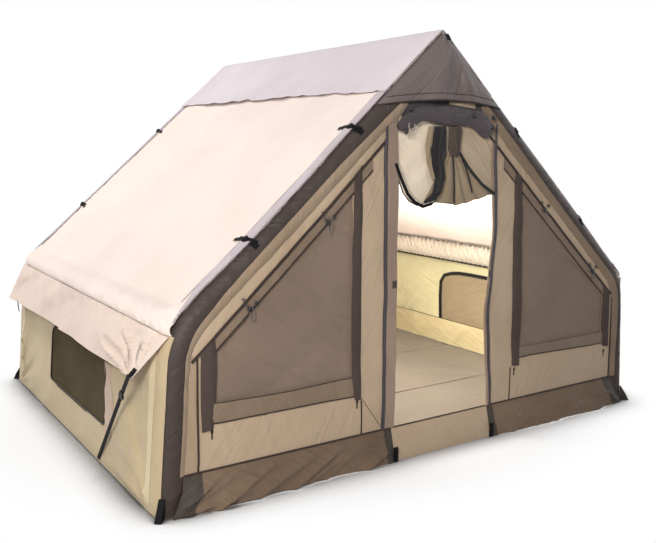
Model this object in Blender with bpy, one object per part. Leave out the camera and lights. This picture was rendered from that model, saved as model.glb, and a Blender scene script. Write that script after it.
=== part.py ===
"""Inflatable cabin tent with an air-beam frame, canvas roof and walls, awning flaps and anchor straps.

The door gable faces -Y, the ridge runs along Y, +Z is up and the origin is on the ground at the centre.
Everything is in metres.
"""

import math

import bmesh
import bpy
from mathutils import Vector

# Overall size, over the outside of the fabric
HEIGHT = 2.000
FLOOR_WIDTH = 2.914
EAVE_WIDTH = 2.796
EAVE_HEIGHT = 0.752
ARCH_SPACING = 2.190

# Air beams and their sleeves
SLEEVE_DIAMETER = 0.130
BEAM_SLEEVE_DIAMETER = 0.115
SLEEVE_WALL = 0.0020
BLADDER_CLEARANCE = 0.0010
BLADDER_WALL = 0.0015
KNEE_RADIUS = 0.250
APEX_RADIUS = 0.100
TUBE_SIDES = 16
KNEE_STEPS = 5
APEX_STEPS = 5
BLADDER_FOOT_RISE = 0.012
PORT_DIAMETER = 0.016

# Canvas, mesh and webbing
CANVAS = 0.003
MESH = 0.002
WEBBING = 0.002
CLEARANCE = 0.0003

# Roof, ridge cap and hood; overhangs are past the arches' centre lines
ROOF_END_OVERHANG = 0.045
ROOF_MID_INSET = 0.015
RIDGE_CAP_DEPTH = 0.440
RIDGE_CAP_OVERHANG = 0.030
HOOD_HALF_WIDTH = 0.372
HOOD_DROP = 0.345
HOOD_ARCH = 0.030

# Gable walls, door and front windows; sideways places are given at the threshold and lean with height
GABLE_WALL_OVERHANG = 0.050
THRESHOLD_HEIGHT = 0.155
DOOR_CENTRE = 0.029
DOOR_LEAN = 0.030
GABLE_TAPER = 0.030
DOOR_HALF_OPENING = 0.300
FRONT_WINDOW_INNER = 0.530
FRONT_WINDOW_LEG_MARGIN = 0.0952
FRONT_WINDOW_SILL = 0.420
FRONT_WINDOW_SLOPE_DROP = 0.262
WINDOW_LAP = 0.015
SKIRT_FLARE = 0.040
SKIRT_LIFT = 0.022
SKIRT_CORNER = 0.045
SKIRT_LEG_HEIGHT = 0.090
SKIRT_LEG_STEP = 0.014

# Side walls and their windows, which start and end at a distance from the arches
WALL_WRAP_FACETS = 2
SIDE_WINDOW_FRONT_INSET = 0.600
SIDE_WINDOW_REAR_INSET = 0.690
SIDE_WINDOW_SILL = 0.185
SIDE_WINDOW_HEAD = 0.492
SIDE_WINDOW_TOP_CORNER = 0.080
SIDE_WINDOW_LOW_CORNER = 0.025

# Rear window, a plain rectangle
REAR_WINDOW_HALF_WIDTH = 0.550
REAR_WINDOW_SILL = 0.620
REAR_WINDOW_HEAD = 1.120

# Awning flaps below the eaves and their straps; a flap's lower edge stands off the leaning wall
AWNING_BEAD_RADIUS = 0.003
AWNING_CORNER_INSET = 0.045
AWNING_CORNER_STANDOFF = 0.1066
AWNING_CORNER_DROP = 0.158
AWNING_MID_STANDOFF = 0.0754
AWNING_MID_DROP = 0.160
AWNING_STATIONS = 17
STRAP_WIDTH = 0.025
STRAP_FOOT_SETBACK = 0.653
STRAP_FOOT_RISE = 0.016
STRAP_PIVOT_RADIUS = 0.0017
BUCKLE_DISTANCE = 0.170
BUCKLE_SIZE = (0.036, 0.022, 0.008)

# Roof edge ties, as distances up the slope from the eave line
TIE_WIDTH = 0.025
TIE_PLACES = (0.505, 1.200)
TIE_START = math.radians(-38)
TIE_END = math.radians(62)
TIE_STEPS = 6

# Anchor feet
FOOT_BEARING = math.radians(50)
FOOT_REACH = 0.118
FOOT_WIDTH = 0.026
FOOT_HEIGHT = 0.080
FOOT_TOE_INSET = 0.012
FOOT_TOE_HEIGHT = 0.028
DOOR_FOOT_SIZE = (0.022, 0.008, 0.070)

# Zip sliders on the front windows
SLIDER_SIZE = (0.010, 0.0055, 0.016)
PULL_SIZE = (0.006, 0.0025, 0.026)
SLIDER_REST_HEIGHT = 0.318
ZIP_INSET = 0.022

# Gathered door roll, tied up in front of the gable panel: each section's sideways place, its height above
# the arch's inner edge at the roll's left end, and its radius
ROLL_PLACES = (
    -0.290, -0.280, -0.245, -0.205, -0.160, -0.100, -0.010, 0.070, 0.125, 0.165, 0.225, 0.270, 0.288,
)
ROLL_RISES = (
    -0.037, -0.032, -0.015, 0.012, 0.037, 0.030, 0.017, 0.021, 0.030, 0.005, -0.021, -0.035, -0.040,
)
ROLL_RADII = (
    0.012, 0.032, 0.050, 0.044, 0.030, 0.036, 0.050, 0.044, 0.033, 0.050, 0.066, 0.042, 0.014,
)
ROLL_HEM_GAP = 0.061
ROLL_SIDES = 12
ROLL_DEPTH_SHARE = 0.36

# Canvas door, hung up behind the gable panel as a fan of folds
DRAPE_TOP_RISE = 0.025
DRAPE_LEFT = -0.250
DRAPE_RIGHT = 0.335
DRAPE_LEFT_DROP = 0.255
DRAPE_MID_DROP = 0.432
DRAPE_RIGHT_DROP = 0.385
DRAPE_LOWEST_SHARE = 0.35
DRAPE_FOLDS = 6
DRAPE_FOLD_DEPTH = 0.022
DRAPE_COLUMNS = 37
DRAPE_ROWS = 6

# Inflation valve on the rear right leg
VALVE_HEIGHT = 0.300
VALVE_FLANGE_DIAMETER = 0.044
VALVE_FLANGE_THICKNESS = 0.004
VALVE_NECK_DIAMETER = 0.026
VALVE_BORE_DIAMETER = 0.016
VALVE_SEAT_DIAMETER = 0.011
VALVE_SEAT_DEPTH = 0.003
VALVE_NECK_DEPTH = 0.016
VALVE_CAP_HEIGHT = 0.010
VALVE_BUTTON_LENGTH = 0.011
VALVE_BUTTON_SINK = 0.001
ROUND_SIDES = 24

COLOURS = {
    "roof_canvas": ("#EFE3DC", 0.85),
    "ridge_canvas": ("#BDB3B0", 0.80),
    "wall_canvas": ("#B7A387", 0.85),
    "skirt_canvas": ("#6F5C4A", 0.85),
    "sleeve_fabric": ("#5A504C", 0.70),
    "window_mesh": ("#7D7168", 0.80),
    "ground_fabric": ("#C9BCA6", 0.80),
    "bladder_film": ("#D8DADC", 0.35),
    "black_webbing": ("#17161A", 0.75),
    "black_plastic": ("#101012", 0.40),
    "white_plastic": ("#E6E6E2", 0.40),
    "zip_metal": ("#26262A", 0.45),
}


def clear_scene():
    for item in list(bpy.data.objects):
        bpy.data.objects.remove(item, do_unlink=True)


def material(finish):
    """One Principled material for each object."""
    colour, roughness = COLOURS[finish]
    made = bpy.data.materials.new(finish)
    made.use_nodes = True
    shader = made.node_tree.nodes["Principled BSDF"]
    channels = [int(colour[i:i + 2], 16) / 255 for i in (1, 3, 5)]
    linear = [c / 12.92 if c <= 0.04045 else ((c + 0.055) / 1.055) ** 2.4 for c in channels]
    shader.inputs["Base Color"].default_value = (*linear, 1)
    shader.inputs["Roughness"].default_value = roughness
    shader.inputs["Metallic"].default_value = 1.0 if finish == "zip_metal" else 0.0
    return made


def make_object(name, verts, faces, finish, origin=(0, 0, 0), smooth=False, twisted=False):
    """An object from world points, with its own origin and its faces turned outwards.

    A twisted sheet is split along its short diagonals, so that both of its faces bend alike.
    """
    origin = Vector(origin)
    mesh = bpy.data.meshes.new(name)
    mesh.from_pydata([Vector(v) - origin for v in verts], [], faces)
    shape = bmesh.new()
    shape.from_mesh(mesh)
    bmesh.ops.recalc_face_normals(shape, faces=shape.faces)
    if twisted:
        bmesh.ops.triangulate(shape, faces=shape.faces, quad_method="SHORT_EDGE")
    shape.to_mesh(mesh)
    shape.free()
    if smooth:
        mesh.shade_smooth()
        mesh.set_sharp_from_angle(angle=math.radians(40))
    made = bpy.data.objects.new(name, mesh)
    made.location = origin
    bpy.context.collection.objects.link(made)
    if finish:
        mesh.materials.append(material(finish))
    return made


def loft(name, sections, finish, origin=(0, 0, 0), smooth=False, twisted=False):
    """A closed solid through sections that each hold the same number of points."""
    count = len(sections[0])
    verts = [point for section in sections for point in section]
    faces = [tuple(range(count)), tuple(range(len(verts) - count, len(verts)))]
    for row in range(len(sections) - 1):
        for i in range(count):
            j = (i + 1) % count
            low = row * count
            high = low + count
            faces.append((low + i, low + j, high + j, high + i))
    return make_object(name, verts, faces, finish, origin, smooth, twisted)


def prism(name, outline, near, far, finish):
    """An outline in the XZ plane, extruded between two places along Y."""
    sections = [[(x, y, z) for x, z in outline] for y in (near, far)]
    return loft(name, sections, finish)


def block(name, centre, axes, size, finish, origin=None):
    """A box on three given axes."""
    centre = Vector(centre)
    a, b, c = (Vector(axis).normalized() * length / 2 for axis, length in zip(axes, size))
    corners = (-a - b, a - b, a + b, b - a)
    sections = [[centre + c * end + corner for corner in corners] for end in (-1, 1)]
    return loft(name, sections, finish, centre if origin is None else origin)


def cut(target, cutter):
    """Cuts one object by another, which is then hidden as a guide."""
    cutter.hide_render = True
    cutter.display_type = "WIRE"
    modifier = target.modifiers.new("cut", "BOOLEAN")
    modifier.operation = "DIFFERENCE"
    modifier.solver = "EXACT"
    modifier.object = cutter


def disc(name, centre, axis, radius, depth, finish, sides=ROUND_SIDES, origin=None):
    """A round piece that starts at its centre point and runs along its axis."""
    turn = Vector(axis).to_track_quat("Z", "Y").to_matrix()
    angles = [math.tau * i / sides for i in range(sides)]
    sections = []
    for step in (0, depth):
        rim = [Vector((radius * math.cos(a), radius * math.sin(a), step)) for a in angles]
        sections.append([Vector(centre) + turn @ point for point in rim])
    return loft(name, sections, finish, centre if origin is None else origin, smooth=True)


# Lines that everything hangs on
SLEEVE_RADIUS = SLEEVE_DIAMETER / 2
BEAM_RADIUS = BEAM_SLEEVE_DIAMETER / 2
SLOPE = math.atan2(HEIGHT - EAVE_HEIGHT, EAVE_WIDTH / 2)
LEG_ANGLE = math.atan2(EAVE_HEIGHT, (FLOOR_WIDTH - EAVE_WIDTH) / 2)
ARCH_Y = ARCH_SPACING / 2
GABLE_WALL_Y = ARCH_Y + GABLE_WALL_OVERHANG
ROOF_END_Y = ARCH_Y + ROOF_END_OVERHANG
ROOF_MID_Y = ARCH_Y - ROOF_MID_INSET
UP_SLOPE = Vector((math.cos(SLOPE), 0, math.sin(SLOPE)))
SLOPE_OUT = Vector((-math.sin(SLOPE), 0, math.cos(SLOPE)))
CAP_STACK = CANVAS + CLEARANCE
ROOF_STACK = CAP_STACK + CANVAS + CLEARANCE
EAVE_CORNER = Vector((-EAVE_WIDTH / 2, 0, EAVE_HEIGHT))


def crossing(point_a, angle_a, point_b, angle_b):
    """Where two lines in the XZ plane meet, as (x, z)."""
    dx, dz = point_b[0] - point_a[0], point_b[1] - point_a[1]
    determinant = math.sin(angle_b - angle_a)
    run = (dx * math.sin(angle_b) - dz * math.cos(angle_b)) / determinant
    return point_a[0] + run * math.cos(angle_a), point_a[1] + run * math.sin(angle_a)


def arch_half():
    """The left half of an arch's centre line, foot to apex, as points with their direction angles."""
    foot = (-FLOOR_WIDTH / 2 + CANVAS + CLEARANCE + SLEEVE_RADIUS / math.sin(LEG_ANGLE), 0.0)
    on_slope = EAVE_CORNER - SLOPE_OUT * (ROOF_STACK + SLEEVE_RADIUS)
    on_slope = (on_slope.x, on_slope.z)
    knee = crossing(foot, LEG_ANGLE, on_slope, SLOPE)
    apex_z = on_slope[1] - on_slope[0] * math.tan(SLOPE)
    path = [(*foot, LEG_ANGLE)]
    run = KNEE_RADIUS * math.tan((LEG_ANGLE - SLOPE) / 2)
    start = (knee[0] - run * math.cos(LEG_ANGLE), knee[1] - run * math.sin(LEG_ANGLE))
    centre = (start[0] + KNEE_RADIUS * math.sin(LEG_ANGLE), start[1] - KNEE_RADIUS * math.cos(LEG_ANGLE))
    for i in range(KNEE_STEPS + 1):
        angle = LEG_ANGLE + (SLOPE - LEG_ANGLE) * i / KNEE_STEPS
        x = centre[0] - KNEE_RADIUS * math.sin(angle)
        z = centre[1] + KNEE_RADIUS * math.cos(angle)
        path.append((x, z, angle))
    apex_centre = apex_z - APEX_RADIUS / math.cos(SLOPE)
    for i in range(APEX_STEPS + 1):
        angle = SLOPE * (1 - i / APEX_STEPS)
        path.append((-APEX_RADIUS * math.sin(angle), apex_centre + APEX_RADIUS * math.cos(angle), angle))
    return path, knee, centre


ARCH_PATH, KNEE_CORNER, KNEE_CENTRE = arch_half()


def mirrored(path):
    return [(-x, z, math.pi - angle) for x, z, angle in path]


def whole_arch(path):
    return path + [(-x, z, -angle) for x, z, angle in reversed(path[:-1])]


def ring(x, y, z, angle, radius, sides, on_ground=False):
    """One round section of a tube in the XZ plane; its first point lies on the outer side."""
    out = Vector((-math.sin(angle), 0, math.cos(angle)))
    along = Vector((math.cos(angle), 0, math.sin(angle)))
    points = []
    for i in range(sides):
        turn = math.tau * i / sides
        point = Vector((x, y, z)) + radius * (out * math.cos(turn) + Vector((0, 1, 0)) * math.sin(turn))
        if on_ground:
            point -= along * (point.z / along.z)
        points.append(point)
    return points


def open_tube(name, outer, inner, finish):
    """A tube wall between two sets of rings, open at both ends."""
    count = len(outer[0])
    rows = len(outer)
    verts = [p for section in outer for p in section] + [p for section in inner for p in section]
    shift = rows * count
    faces = []
    for row in range(rows - 1):
        for i in range(count):
            j = (i + 1) % count
            low = row * count
            high = low + count
            faces.append((low + i, low + j, high + j, high + i))
            faces.append((shift + low + i, shift + high + i, shift + high + j, shift + low + j))
    for low in (0, (rows - 1) * count):
        for i in range(count):
            j = (i + 1) % count
            faces.append((low + i, low + j, shift + low + j, shift + low + i))
    return make_object(name, verts, faces, finish, smooth=True)


def closed_shell(name, outer, inner, finish):
    """A closed film bag: outer rings and inner rings, each with closed ends."""
    made = loft(name, outer, finish, smooth=True)
    hollow = loft(name + "_hollow", inner, None)
    cut(made, hollow)
    return made


def arch_sleeve(name, path, y):
    """Half of an arch's fabric sleeve, from the ground to the centre seam at the apex."""
    end = path[-1]
    seam = math.copysign(CLEARANCE / 2, path[0][0])
    path = path[:-1] + [(seam, end[1], end[2])]
    outer = [ring(x, y, z, a, SLEEVE_RADIUS, TUBE_SIDES, i == 0) for i, (x, z, a) in enumerate(path)]
    inner = [ring(x, y, z, a, SLEEVE_RADIUS - SLEEVE_WALL, TUBE_SIDES, i == 0)
             for i, (x, z, a) in enumerate(path)]
    return open_tube(name, outer, inner, "sleeve_fabric")


def shorten(path, rise):
    """Lifts both feet of an arch path off the ground."""
    low = path[0]
    high = path[-1]
    first = (low[0] + rise / math.tan(low[2]), low[1] + rise, low[2])
    last = (high[0] + rise / math.tan(high[2]), high[1] + rise, high[2])
    return [first] + path[1:-1] + [last]


def port(target, point, axis):
    """A round air port through one wall of a bladder."""
    start = Vector(point) - Vector(axis).normalized() * BLADDER_WALL * 3
    cutter = disc(target.name + "_port", start, axis, PORT_DIAMETER / 2, BLADDER_WALL * 6, None, 12)
    cut(target, cutter)


def arch_bladder(name, y, inward):
    """The air bladder of a whole arch, with a port at the apex that faces the ridge beam."""
    path = shorten(whole_arch(ARCH_PATH), BLADDER_FOOT_RISE)
    radius = SLEEVE_RADIUS - SLEEVE_WALL - BLADDER_CLEARANCE
    outer = [ring(x, y, z, a, radius, TUBE_SIDES) for x, z, a in path]
    inner_path = shorten(path, BLADDER_WALL)
    inner = [ring(x, y, z, a, radius - BLADDER_WALL, TUBE_SIDES) for x, z, a in inner_path]
    made = closed_shell(name, outer, inner, "bladder_film")
    if inward:
        port(made, (0, y + inward * radius, ARCH_PATH[-1][1]), (0, inward, 0))
    return made


def beam_ring(x, y, z, radius):
    return [Vector((x + radius * math.sin(math.tau * i / TUBE_SIDES), y,
                    z + radius * math.cos(math.tau * i / TUBE_SIDES))) for i in range(TUBE_SIDES)]


def straight_sleeve(name, x, z, end_y):
    """A straight beam sleeve between the two arches."""
    outer = [beam_ring(x, y, z, BEAM_RADIUS) for y in (-end_y, end_y)]
    inner = [beam_ring(x, y, z, BEAM_RADIUS - SLEEVE_WALL) for y in (-end_y, end_y)]
    return open_tube(name, outer, inner, "sleeve_fabric")


def straight_bladder(name, x, z, end_y):
    """The air bladder in a straight beam, with a port in its front end."""
    radius = BEAM_RADIUS - SLEEVE_WALL - BLADDER_CLEARANCE
    end_y = end_y - BLADDER_CLEARANCE
    outer = [beam_ring(x, y, z, radius) for y in (-end_y, end_y)]
    inner_end = end_y - BLADDER_WALL
    inner = [beam_ring(x, y, z, radius - BLADDER_WALL) for y in (-inner_end, inner_end)]
    made = closed_shell(name, outer, inner, "bladder_film")
    port(made, (x, -end_y, z), (0, -1, 0))
    return made


# Beam places: the ridge beam hangs just under the roof's peak, the eave beams lie just above the knees
ROOF_UNDER_PEAK = HEIGHT - ROOF_STACK / math.cos(SLOPE)
RIDGE_BEAM_Z = ROOF_UNDER_PEAK - BEAM_RADIUS / math.cos(SLOPE)
EAVE_BEAM_RISE = 0.020
EAVE_BEAM = (Vector((KNEE_CORNER[0], 0, KNEE_CORNER[1])) + UP_SLOPE * EAVE_BEAM_RISE
             + SLOPE_OUT * (SLEEVE_RADIUS - BEAM_RADIUS))
BEAM_END_Y = ARCH_Y - SLEEVE_RADIUS - CLEARANCE


def frame():
    for end, y in (("front", -ARCH_Y), ("rear", ARCH_Y)):
        arch_sleeve(end + "_left_sleeve", ARCH_PATH, y)
        arch_sleeve(end + "_right_sleeve", mirrored(ARCH_PATH), y)
    arch_bladder("front_arch_bladder", -ARCH_Y, 1)
    straight_sleeve("ridge_sleeve", 0, RIDGE_BEAM_Z, BEAM_END_Y)
    straight_bladder("ridge_bladder", 0, RIDGE_BEAM_Z, BEAM_END_Y)
    for side, sign in (("left", 1), ("right", -1)):
        straight_sleeve(side + "_eave_sleeve", sign * EAVE_BEAM.x, EAVE_BEAM.z, BEAM_END_Y)
        straight_bladder(side + "_eave_bladder", sign * EAVE_BEAM.x, EAVE_BEAM.z, BEAM_END_Y)


def leg_at(height):
    """Centre line place of the right leg at a height."""
    foot = ARCH_PATH[0]
    return -foot[0] - height / math.tan(LEG_ANGLE)


def valve():
    """Inflation valve on the rear right leg: body through sleeve and bladder, push button and cap."""
    rear_bladder = arch_bladder("rear_arch_bladder", ARCH_Y, 0)
    x, y = leg_at(VALVE_HEIGHT), ARCH_Y
    surface = y + SLEEVE_RADIUS
    axis = Vector((0, 1, 0))
    neck_radius = VALVE_NECK_DIAMETER / 2
    hole = disc("valve_hole", (x, y + SLEEVE_RADIUS / 2, VALVE_HEIGHT), axis, neck_radius + CLEARANCE,
                SLEEVE_RADIUS, None)
    cut(rear_bladder, hole)
    cut(bpy.data.objects["rear_right_sleeve"], hole)
    flange_start = surface + CLEARANCE
    neck_end = flange_start - VALVE_NECK_DEPTH
    flange_end = flange_start + VALVE_FLANGE_THICKNESS
    body_profile = [
        (VALVE_SEAT_DIAMETER / 2, neck_end),
        (neck_radius, neck_end),
        (neck_radius, flange_start),
        (VALVE_FLANGE_DIAMETER / 2, flange_start),
        (VALVE_FLANGE_DIAMETER / 2, flange_end),
        (VALVE_BORE_DIAMETER / 2, flange_end),
        (VALVE_BORE_DIAMETER / 2, neck_end + VALVE_SEAT_DEPTH),
        (VALVE_SEAT_DIAMETER / 2, neck_end + VALVE_SEAT_DEPTH),
    ]
    turned("valve_body", x, VALVE_HEIGHT, body_profile, "white_plastic", (x, surface, VALVE_HEIGHT))
    button_start = flange_end - VALVE_BUTTON_SINK - VALVE_BUTTON_LENGTH
    disc("valve_button", (x, button_start, VALVE_HEIGHT), axis, VALVE_BORE_DIAMETER / 2 - CLEARANCE,
         VALVE_BUTTON_LENGTH, "black_plastic")
    cap_start = flange_end + CLEARANCE
    disc("valve_cap", (x, cap_start, VALVE_HEIGHT), axis, VALVE_FLANGE_DIAMETER / 2, VALVE_CAP_HEIGHT,
         "white_plastic")


def turned(name, x, z, profile, finish, origin):
    """A ring-shaped piece turned about a line along Y, from a closed profile of (radius, y)."""
    count = len(profile)
    verts = []
    for i in range(ROUND_SIDES):
        turn = math.tau * i / ROUND_SIDES
        verts += [(x + r * math.cos(turn), y, z + r * math.sin(turn)) for r, y in profile]
    faces = []
    for i in range(ROUND_SIDES):
        here = i * count
        there = ((i + 1) % ROUND_SIDES) * count
        for j in range(count):
            k = (j + 1) % count
            faces.append((here + j, here + k, there + k, there + j))
    return make_object(name, verts, faces, finish, origin, smooth=True)


def roof_edge(share):
    """How far the roof reaches along Y, from the ridge (0) to the eave (1): it hollows between them."""
    return ROOF_MID_Y + (ROOF_END_Y - ROOF_MID_Y) * (2 * share - 1) ** 2


def roof_profile(depth, steps=8):
    """The roof sheet's line at a depth below the outermost roof surface, ridge to eave, left side."""
    peak = HEIGHT - depth / math.cos(SLOPE)
    radius = BEAM_RADIUS + ROOF_STACK - depth
    tangent = EAVE_BEAM + SLOPE_OUT * radius
    points = [Vector((-CLEARANCE / 2, 0, peak))]
    for i in range(1, steps):
        points.append(points[0].lerp(tangent, i / steps))
    turn_start = math.pi / 2 + SLOPE
    arc_steps = 4
    for i in range(arc_steps + 1):
        turn = turn_start + (math.pi - turn_start) * i / arc_steps
        points.append(EAVE_BEAM + Vector((radius * math.cos(turn), 0, radius * math.sin(turn))))
    return points


def roof(side, sign):
    """One roof sheet: ridge seam, flat slope, and a turn round the eave beam."""
    outer = roof_profile(CAP_STACK)
    inner = roof_profile(CAP_STACK + CANVAS)
    runs = [(here - there).length for here, there in zip(outer, outer[1:])]
    sections = []
    for i, (top, low) in enumerate(zip(outer, inner)):
        reach = roof_edge(sum(runs[:i]) / sum(runs))
        sections.append([(sign * top.x, -reach, top.z), (sign * top.x, reach, top.z),
                         (sign * low.x, reach, low.z), (sign * low.x, -reach, low.z)])
    return loft(side + "_roof", sections, "roof_canvas")


def ridge_cap():
    """Reinforcing panel folded over the ridge."""
    low = Vector((0, 0, HEIGHT)) - UP_SLOPE * RIDGE_CAP_DEPTH
    rise = Vector((0, 0, CANVAS / math.cos(SLOPE)))
    outline = [(low.x, low.z), (0, HEIGHT), (-low.x, low.z)]
    inset = SLOPE_OUT * CANVAS
    outline += [(-(low - inset).x, (low - inset).z), (0, HEIGHT - rise.z), ((low - inset).x, (low - inset).z)]
    end = ARCH_Y + RIDGE_CAP_OVERHANG
    return prism("ridge_cap", outline, -end, end, "ridge_canvas")


def front_hood():
    """Triangular vent hood over the top of the front arch, with an arched lower hem."""
    back = -(ARCH_Y + SLEEVE_RADIUS + CLEARANCE)
    base = ROOF_UNDER_PEAK - HOOD_DROP
    steps = 8
    outline = [(0, ROOF_UNDER_PEAK)]
    for i in range(steps + 1):
        share = 2 * i / steps - 1
        outline.append((HOOD_HALF_WIDTH * share, base + HOOD_ARCH * (1 - share ** 2)))
    return prism("front_hood", outline, back - CANVAS, back, "sleeve_fabric")


def inner_edge(depth):
    """The line inside an arch, a given distance from its centre line, from the ground to the apex."""
    foot = (ARCH_PATH[0][0] + depth / math.sin(LEG_ANGLE), 0.0)
    return [foot] + [(x + depth * math.sin(a), z - depth * math.cos(a)) for x, z, a in ARCH_PATH[1:]]


def gable_x(place, height):
    """Sideways place on the front gable at a height, with the pitch's slight lean and taper."""
    rise = height - THRESHOLD_HEIGHT
    return place * (1 - GABLE_TAPER * rise) + DOOR_CENTRE - DOOR_LEAN * rise


def wall_depth():
    """How far a gable wall's edge stays from the arch's centre line to touch the tube."""
    back = GABLE_WALL_Y - CANVAS - ARCH_Y
    return math.sqrt(SLEEVE_RADIUS ** 2 - back ** 2) + CLEARANCE


def edge_x(edge, height):
    """Sideways place of an arch's inner edge on its left side at a height."""
    for (x0, z0), (x1, z1) in zip(edge, edge[1:]):
        if z0 <= height <= z1:
            return x0 + (x1 - x0) * (height - z0) / (z1 - z0)
    raise ValueError("height is not on the edge")


def slope_edge(place):
    """Height of the arch's inner edge, straight up its slope, above a sideways place."""
    peak = HEIGHT - (ROOF_STACK + SLEEVE_RADIUS + wall_depth()) / math.cos(SLOPE)
    return peak - abs(place) * math.tan(SLOPE)


def jamb_top(sign):
    """Where a door jamb meets the arch's inner edge, as (x, z)."""
    low = gable_x(sign * DOOR_HALF_OPENING, THRESHOLD_HEIGHT)
    high = gable_x(sign * DOOR_HALF_OPENING, HEIGHT)
    jamb_angle = math.atan2(HEIGHT - THRESHOLD_HEIGHT, high - low)
    edge_angle = SLOPE if sign < 0 else math.pi - SLOPE
    return crossing((low, THRESHOLD_HEIGHT), jamb_angle, (0, slope_edge(0)), edge_angle)


def door_head():
    """Lower edge of the gable panel, just above the higher jamb."""
    return max(jamb_top(sign)[1] for sign in (-1, 1)) + CLEARANCE


def front_window_outer():
    """Outer edge of the front windows, set in from the arch's leg at the sill."""
    return abs(edge_x(inner_edge(wall_depth()), FRONT_WINDOW_SILL)) - FRONT_WINDOW_LEG_MARGIN


def window_outline(sign, grow):
    """The four corners of a front window, grown on every side."""
    inner = FRONT_WINDOW_INNER - grow
    outer = front_window_outer() + grow
    sill = FRONT_WINDOW_SILL - grow
    drop = FRONT_WINDOW_SLOPE_DROP - grow / math.cos(SLOPE)
    corners = []
    for place in (outer, inner):
        height = HEIGHT - drop - place * math.tan(SLOPE)
        corners.append((gable_x(sign * place, height), height))
    return [(gable_x(sign * outer, sill), sill), (gable_x(sign * inner, sill), sill), corners[1], corners[0]]


def front_wall(side, sign):
    """Front wall panel beside the door, edged by the arch, with a mesh window behind it."""
    edge = inner_edge(wall_depth())
    leg_x = -sign * edge_x(edge, THRESHOLD_HEIGHT)
    jamb_low = (gable_x(sign * DOOR_HALF_OPENING, THRESHOLD_HEIGHT), THRESHOLD_HEIGHT)
    jamb_x, top_z = jamb_top(sign)
    curve = [(-sign * x, z) for x, z in edge if THRESHOLD_HEIGHT < z < top_z - CLEARANCE]
    outline = [jamb_low, (leg_x, THRESHOLD_HEIGHT)] + curve + [(jamb_x, top_z)]
    wall = prism("front_" + side + "_wall", outline, -GABLE_WALL_Y, -GABLE_WALL_Y + CANVAS, "wall_canvas")
    opening = prism("front_" + side + "_opening", window_outline(sign, 0), -GABLE_WALL_Y - CANVAS,
                    -GABLE_WALL_Y + 2 * CANVAS, None)
    cut(wall, opening)
    near = -GABLE_WALL_Y + CANVAS + CLEARANCE
    prism("front_" + side + "_window", window_outline(sign, WINDOW_LAP), near, near + MESH, "window_mesh")


def gable_top():
    """Gable panel above the door, behind the hood."""
    edge = inner_edge(wall_depth())
    low = door_head()
    curve = [(x, z) for x, z in edge if z > low]
    left = [(edge_x(edge, low), low)] + curve
    right = [(-x, z) for x, z in reversed(left[:-1])]
    prism("front_gable_top", left + right, -GABLE_WALL_Y, -GABLE_WALL_Y + CANVAS, "wall_canvas")


def flared_panel(name, stations, finish):
    """A panel hung from the threshold line that flares out towards the ground, through three heights."""
    sections = []
    for top_x, middle_x, low_x, lift in stations:
        front = []
        back = []
        for x, z in ((top_x, THRESHOLD_HEIGHT - CLEARANCE), (middle_x, SKIRT_LEG_HEIGHT), (low_x, lift)):
            y = -GABLE_WALL_Y - SKIRT_FLARE * (1 - z / THRESHOLD_HEIGHT)
            front.append((x, y, z))
            back.append((x, y + CANVAS, z))
        sections.append(front + back[::-1])
    loft(name, sections, finish)


def skirts():
    """Brown skirts of the front panels, lifted between the anchor feet, and the door's threshold."""
    steps = 8
    leg_inner = edge_x(inner_edge(wall_depth()), THRESHOLD_HEIGHT)
    foot_x = FLOOR_WIDTH / 2 - SKIRT_CORNER
    jamb = DOOR_HALF_OPENING + DOOR_FOOT_SIZE[0] / 2
    for side, sign in (("left", -1), ("right", 1)):
        start = gable_x(sign * jamb, THRESHOLD_HEIGHT) + sign * CLEARANCE / 2
        ends = (abs(leg_inner), abs(leg_inner) + SKIRT_LEG_STEP, foot_x)
        stations = []
        for i in range(steps + 1):
            share = i / steps
            places = [start + (sign * end - start) * share for end in ends]
            stations.append((*places, SKIRT_LIFT * math.sin(math.pi * share)))
        flared_panel("front_" + side + "_skirt", stations, "skirt_canvas")
    left = gable_x(-jamb, THRESHOLD_HEIGHT) + CLEARANCE / 2
    right = gable_x(jamb, THRESHOLD_HEIGHT) - CLEARANCE / 2
    flared_panel("door_threshold", [(left, left, left, 0), (right, right, right, 0)], "wall_canvas")


def rear_wall():
    """Rear gable wall, from the ground to the apex, with one mesh window."""
    edge = inner_edge(wall_depth())
    right = [(-x, z) for x, z in reversed(edge[:-1])]
    wall = prism("rear_wall", edge + right, GABLE_WALL_Y - CANVAS, GABLE_WALL_Y, "wall_canvas")
    for name, grow in (("opening", 0), ("window", WINDOW_LAP)):
        half = REAR_WINDOW_HALF_WIDTH + grow
        low = REAR_WINDOW_SILL - grow
        high = REAR_WINDOW_HEAD + grow
        outline = [(-half, low), (half, low), (half, high), (-half, high)]
        if name == "opening":
            cut(wall, prism("rear_opening", outline, GABLE_WALL_Y - 2 * CANVAS, GABLE_WALL_Y + CANVAS, None))
        else:
            near = GABLE_WALL_Y - CANVAS - CLEARANCE
            prism("rear_window", outline, near - MESH, near, "window_mesh")


def eave_meeting():
    """The angle on the knee's curve where the side wall reaches the eave beam."""
    radius_wall = KNEE_RADIUS + SLEEVE_RADIUS + CLEARANCE
    radius_beam = BEAM_RADIUS + 2 * CLEARANCE
    dx = EAVE_BEAM.x - KNEE_CENTRE[0]
    dz = EAVE_BEAM.z - KNEE_CENTRE[1]
    gap = math.hypot(dx, dz)
    reach = (radius_wall ** 2 + gap ** 2 - radius_beam ** 2) / (2 * radius_wall * gap)
    bearing = math.atan2(dz, dx)
    return bearing + math.acos(reach) - math.pi / 2


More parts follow.
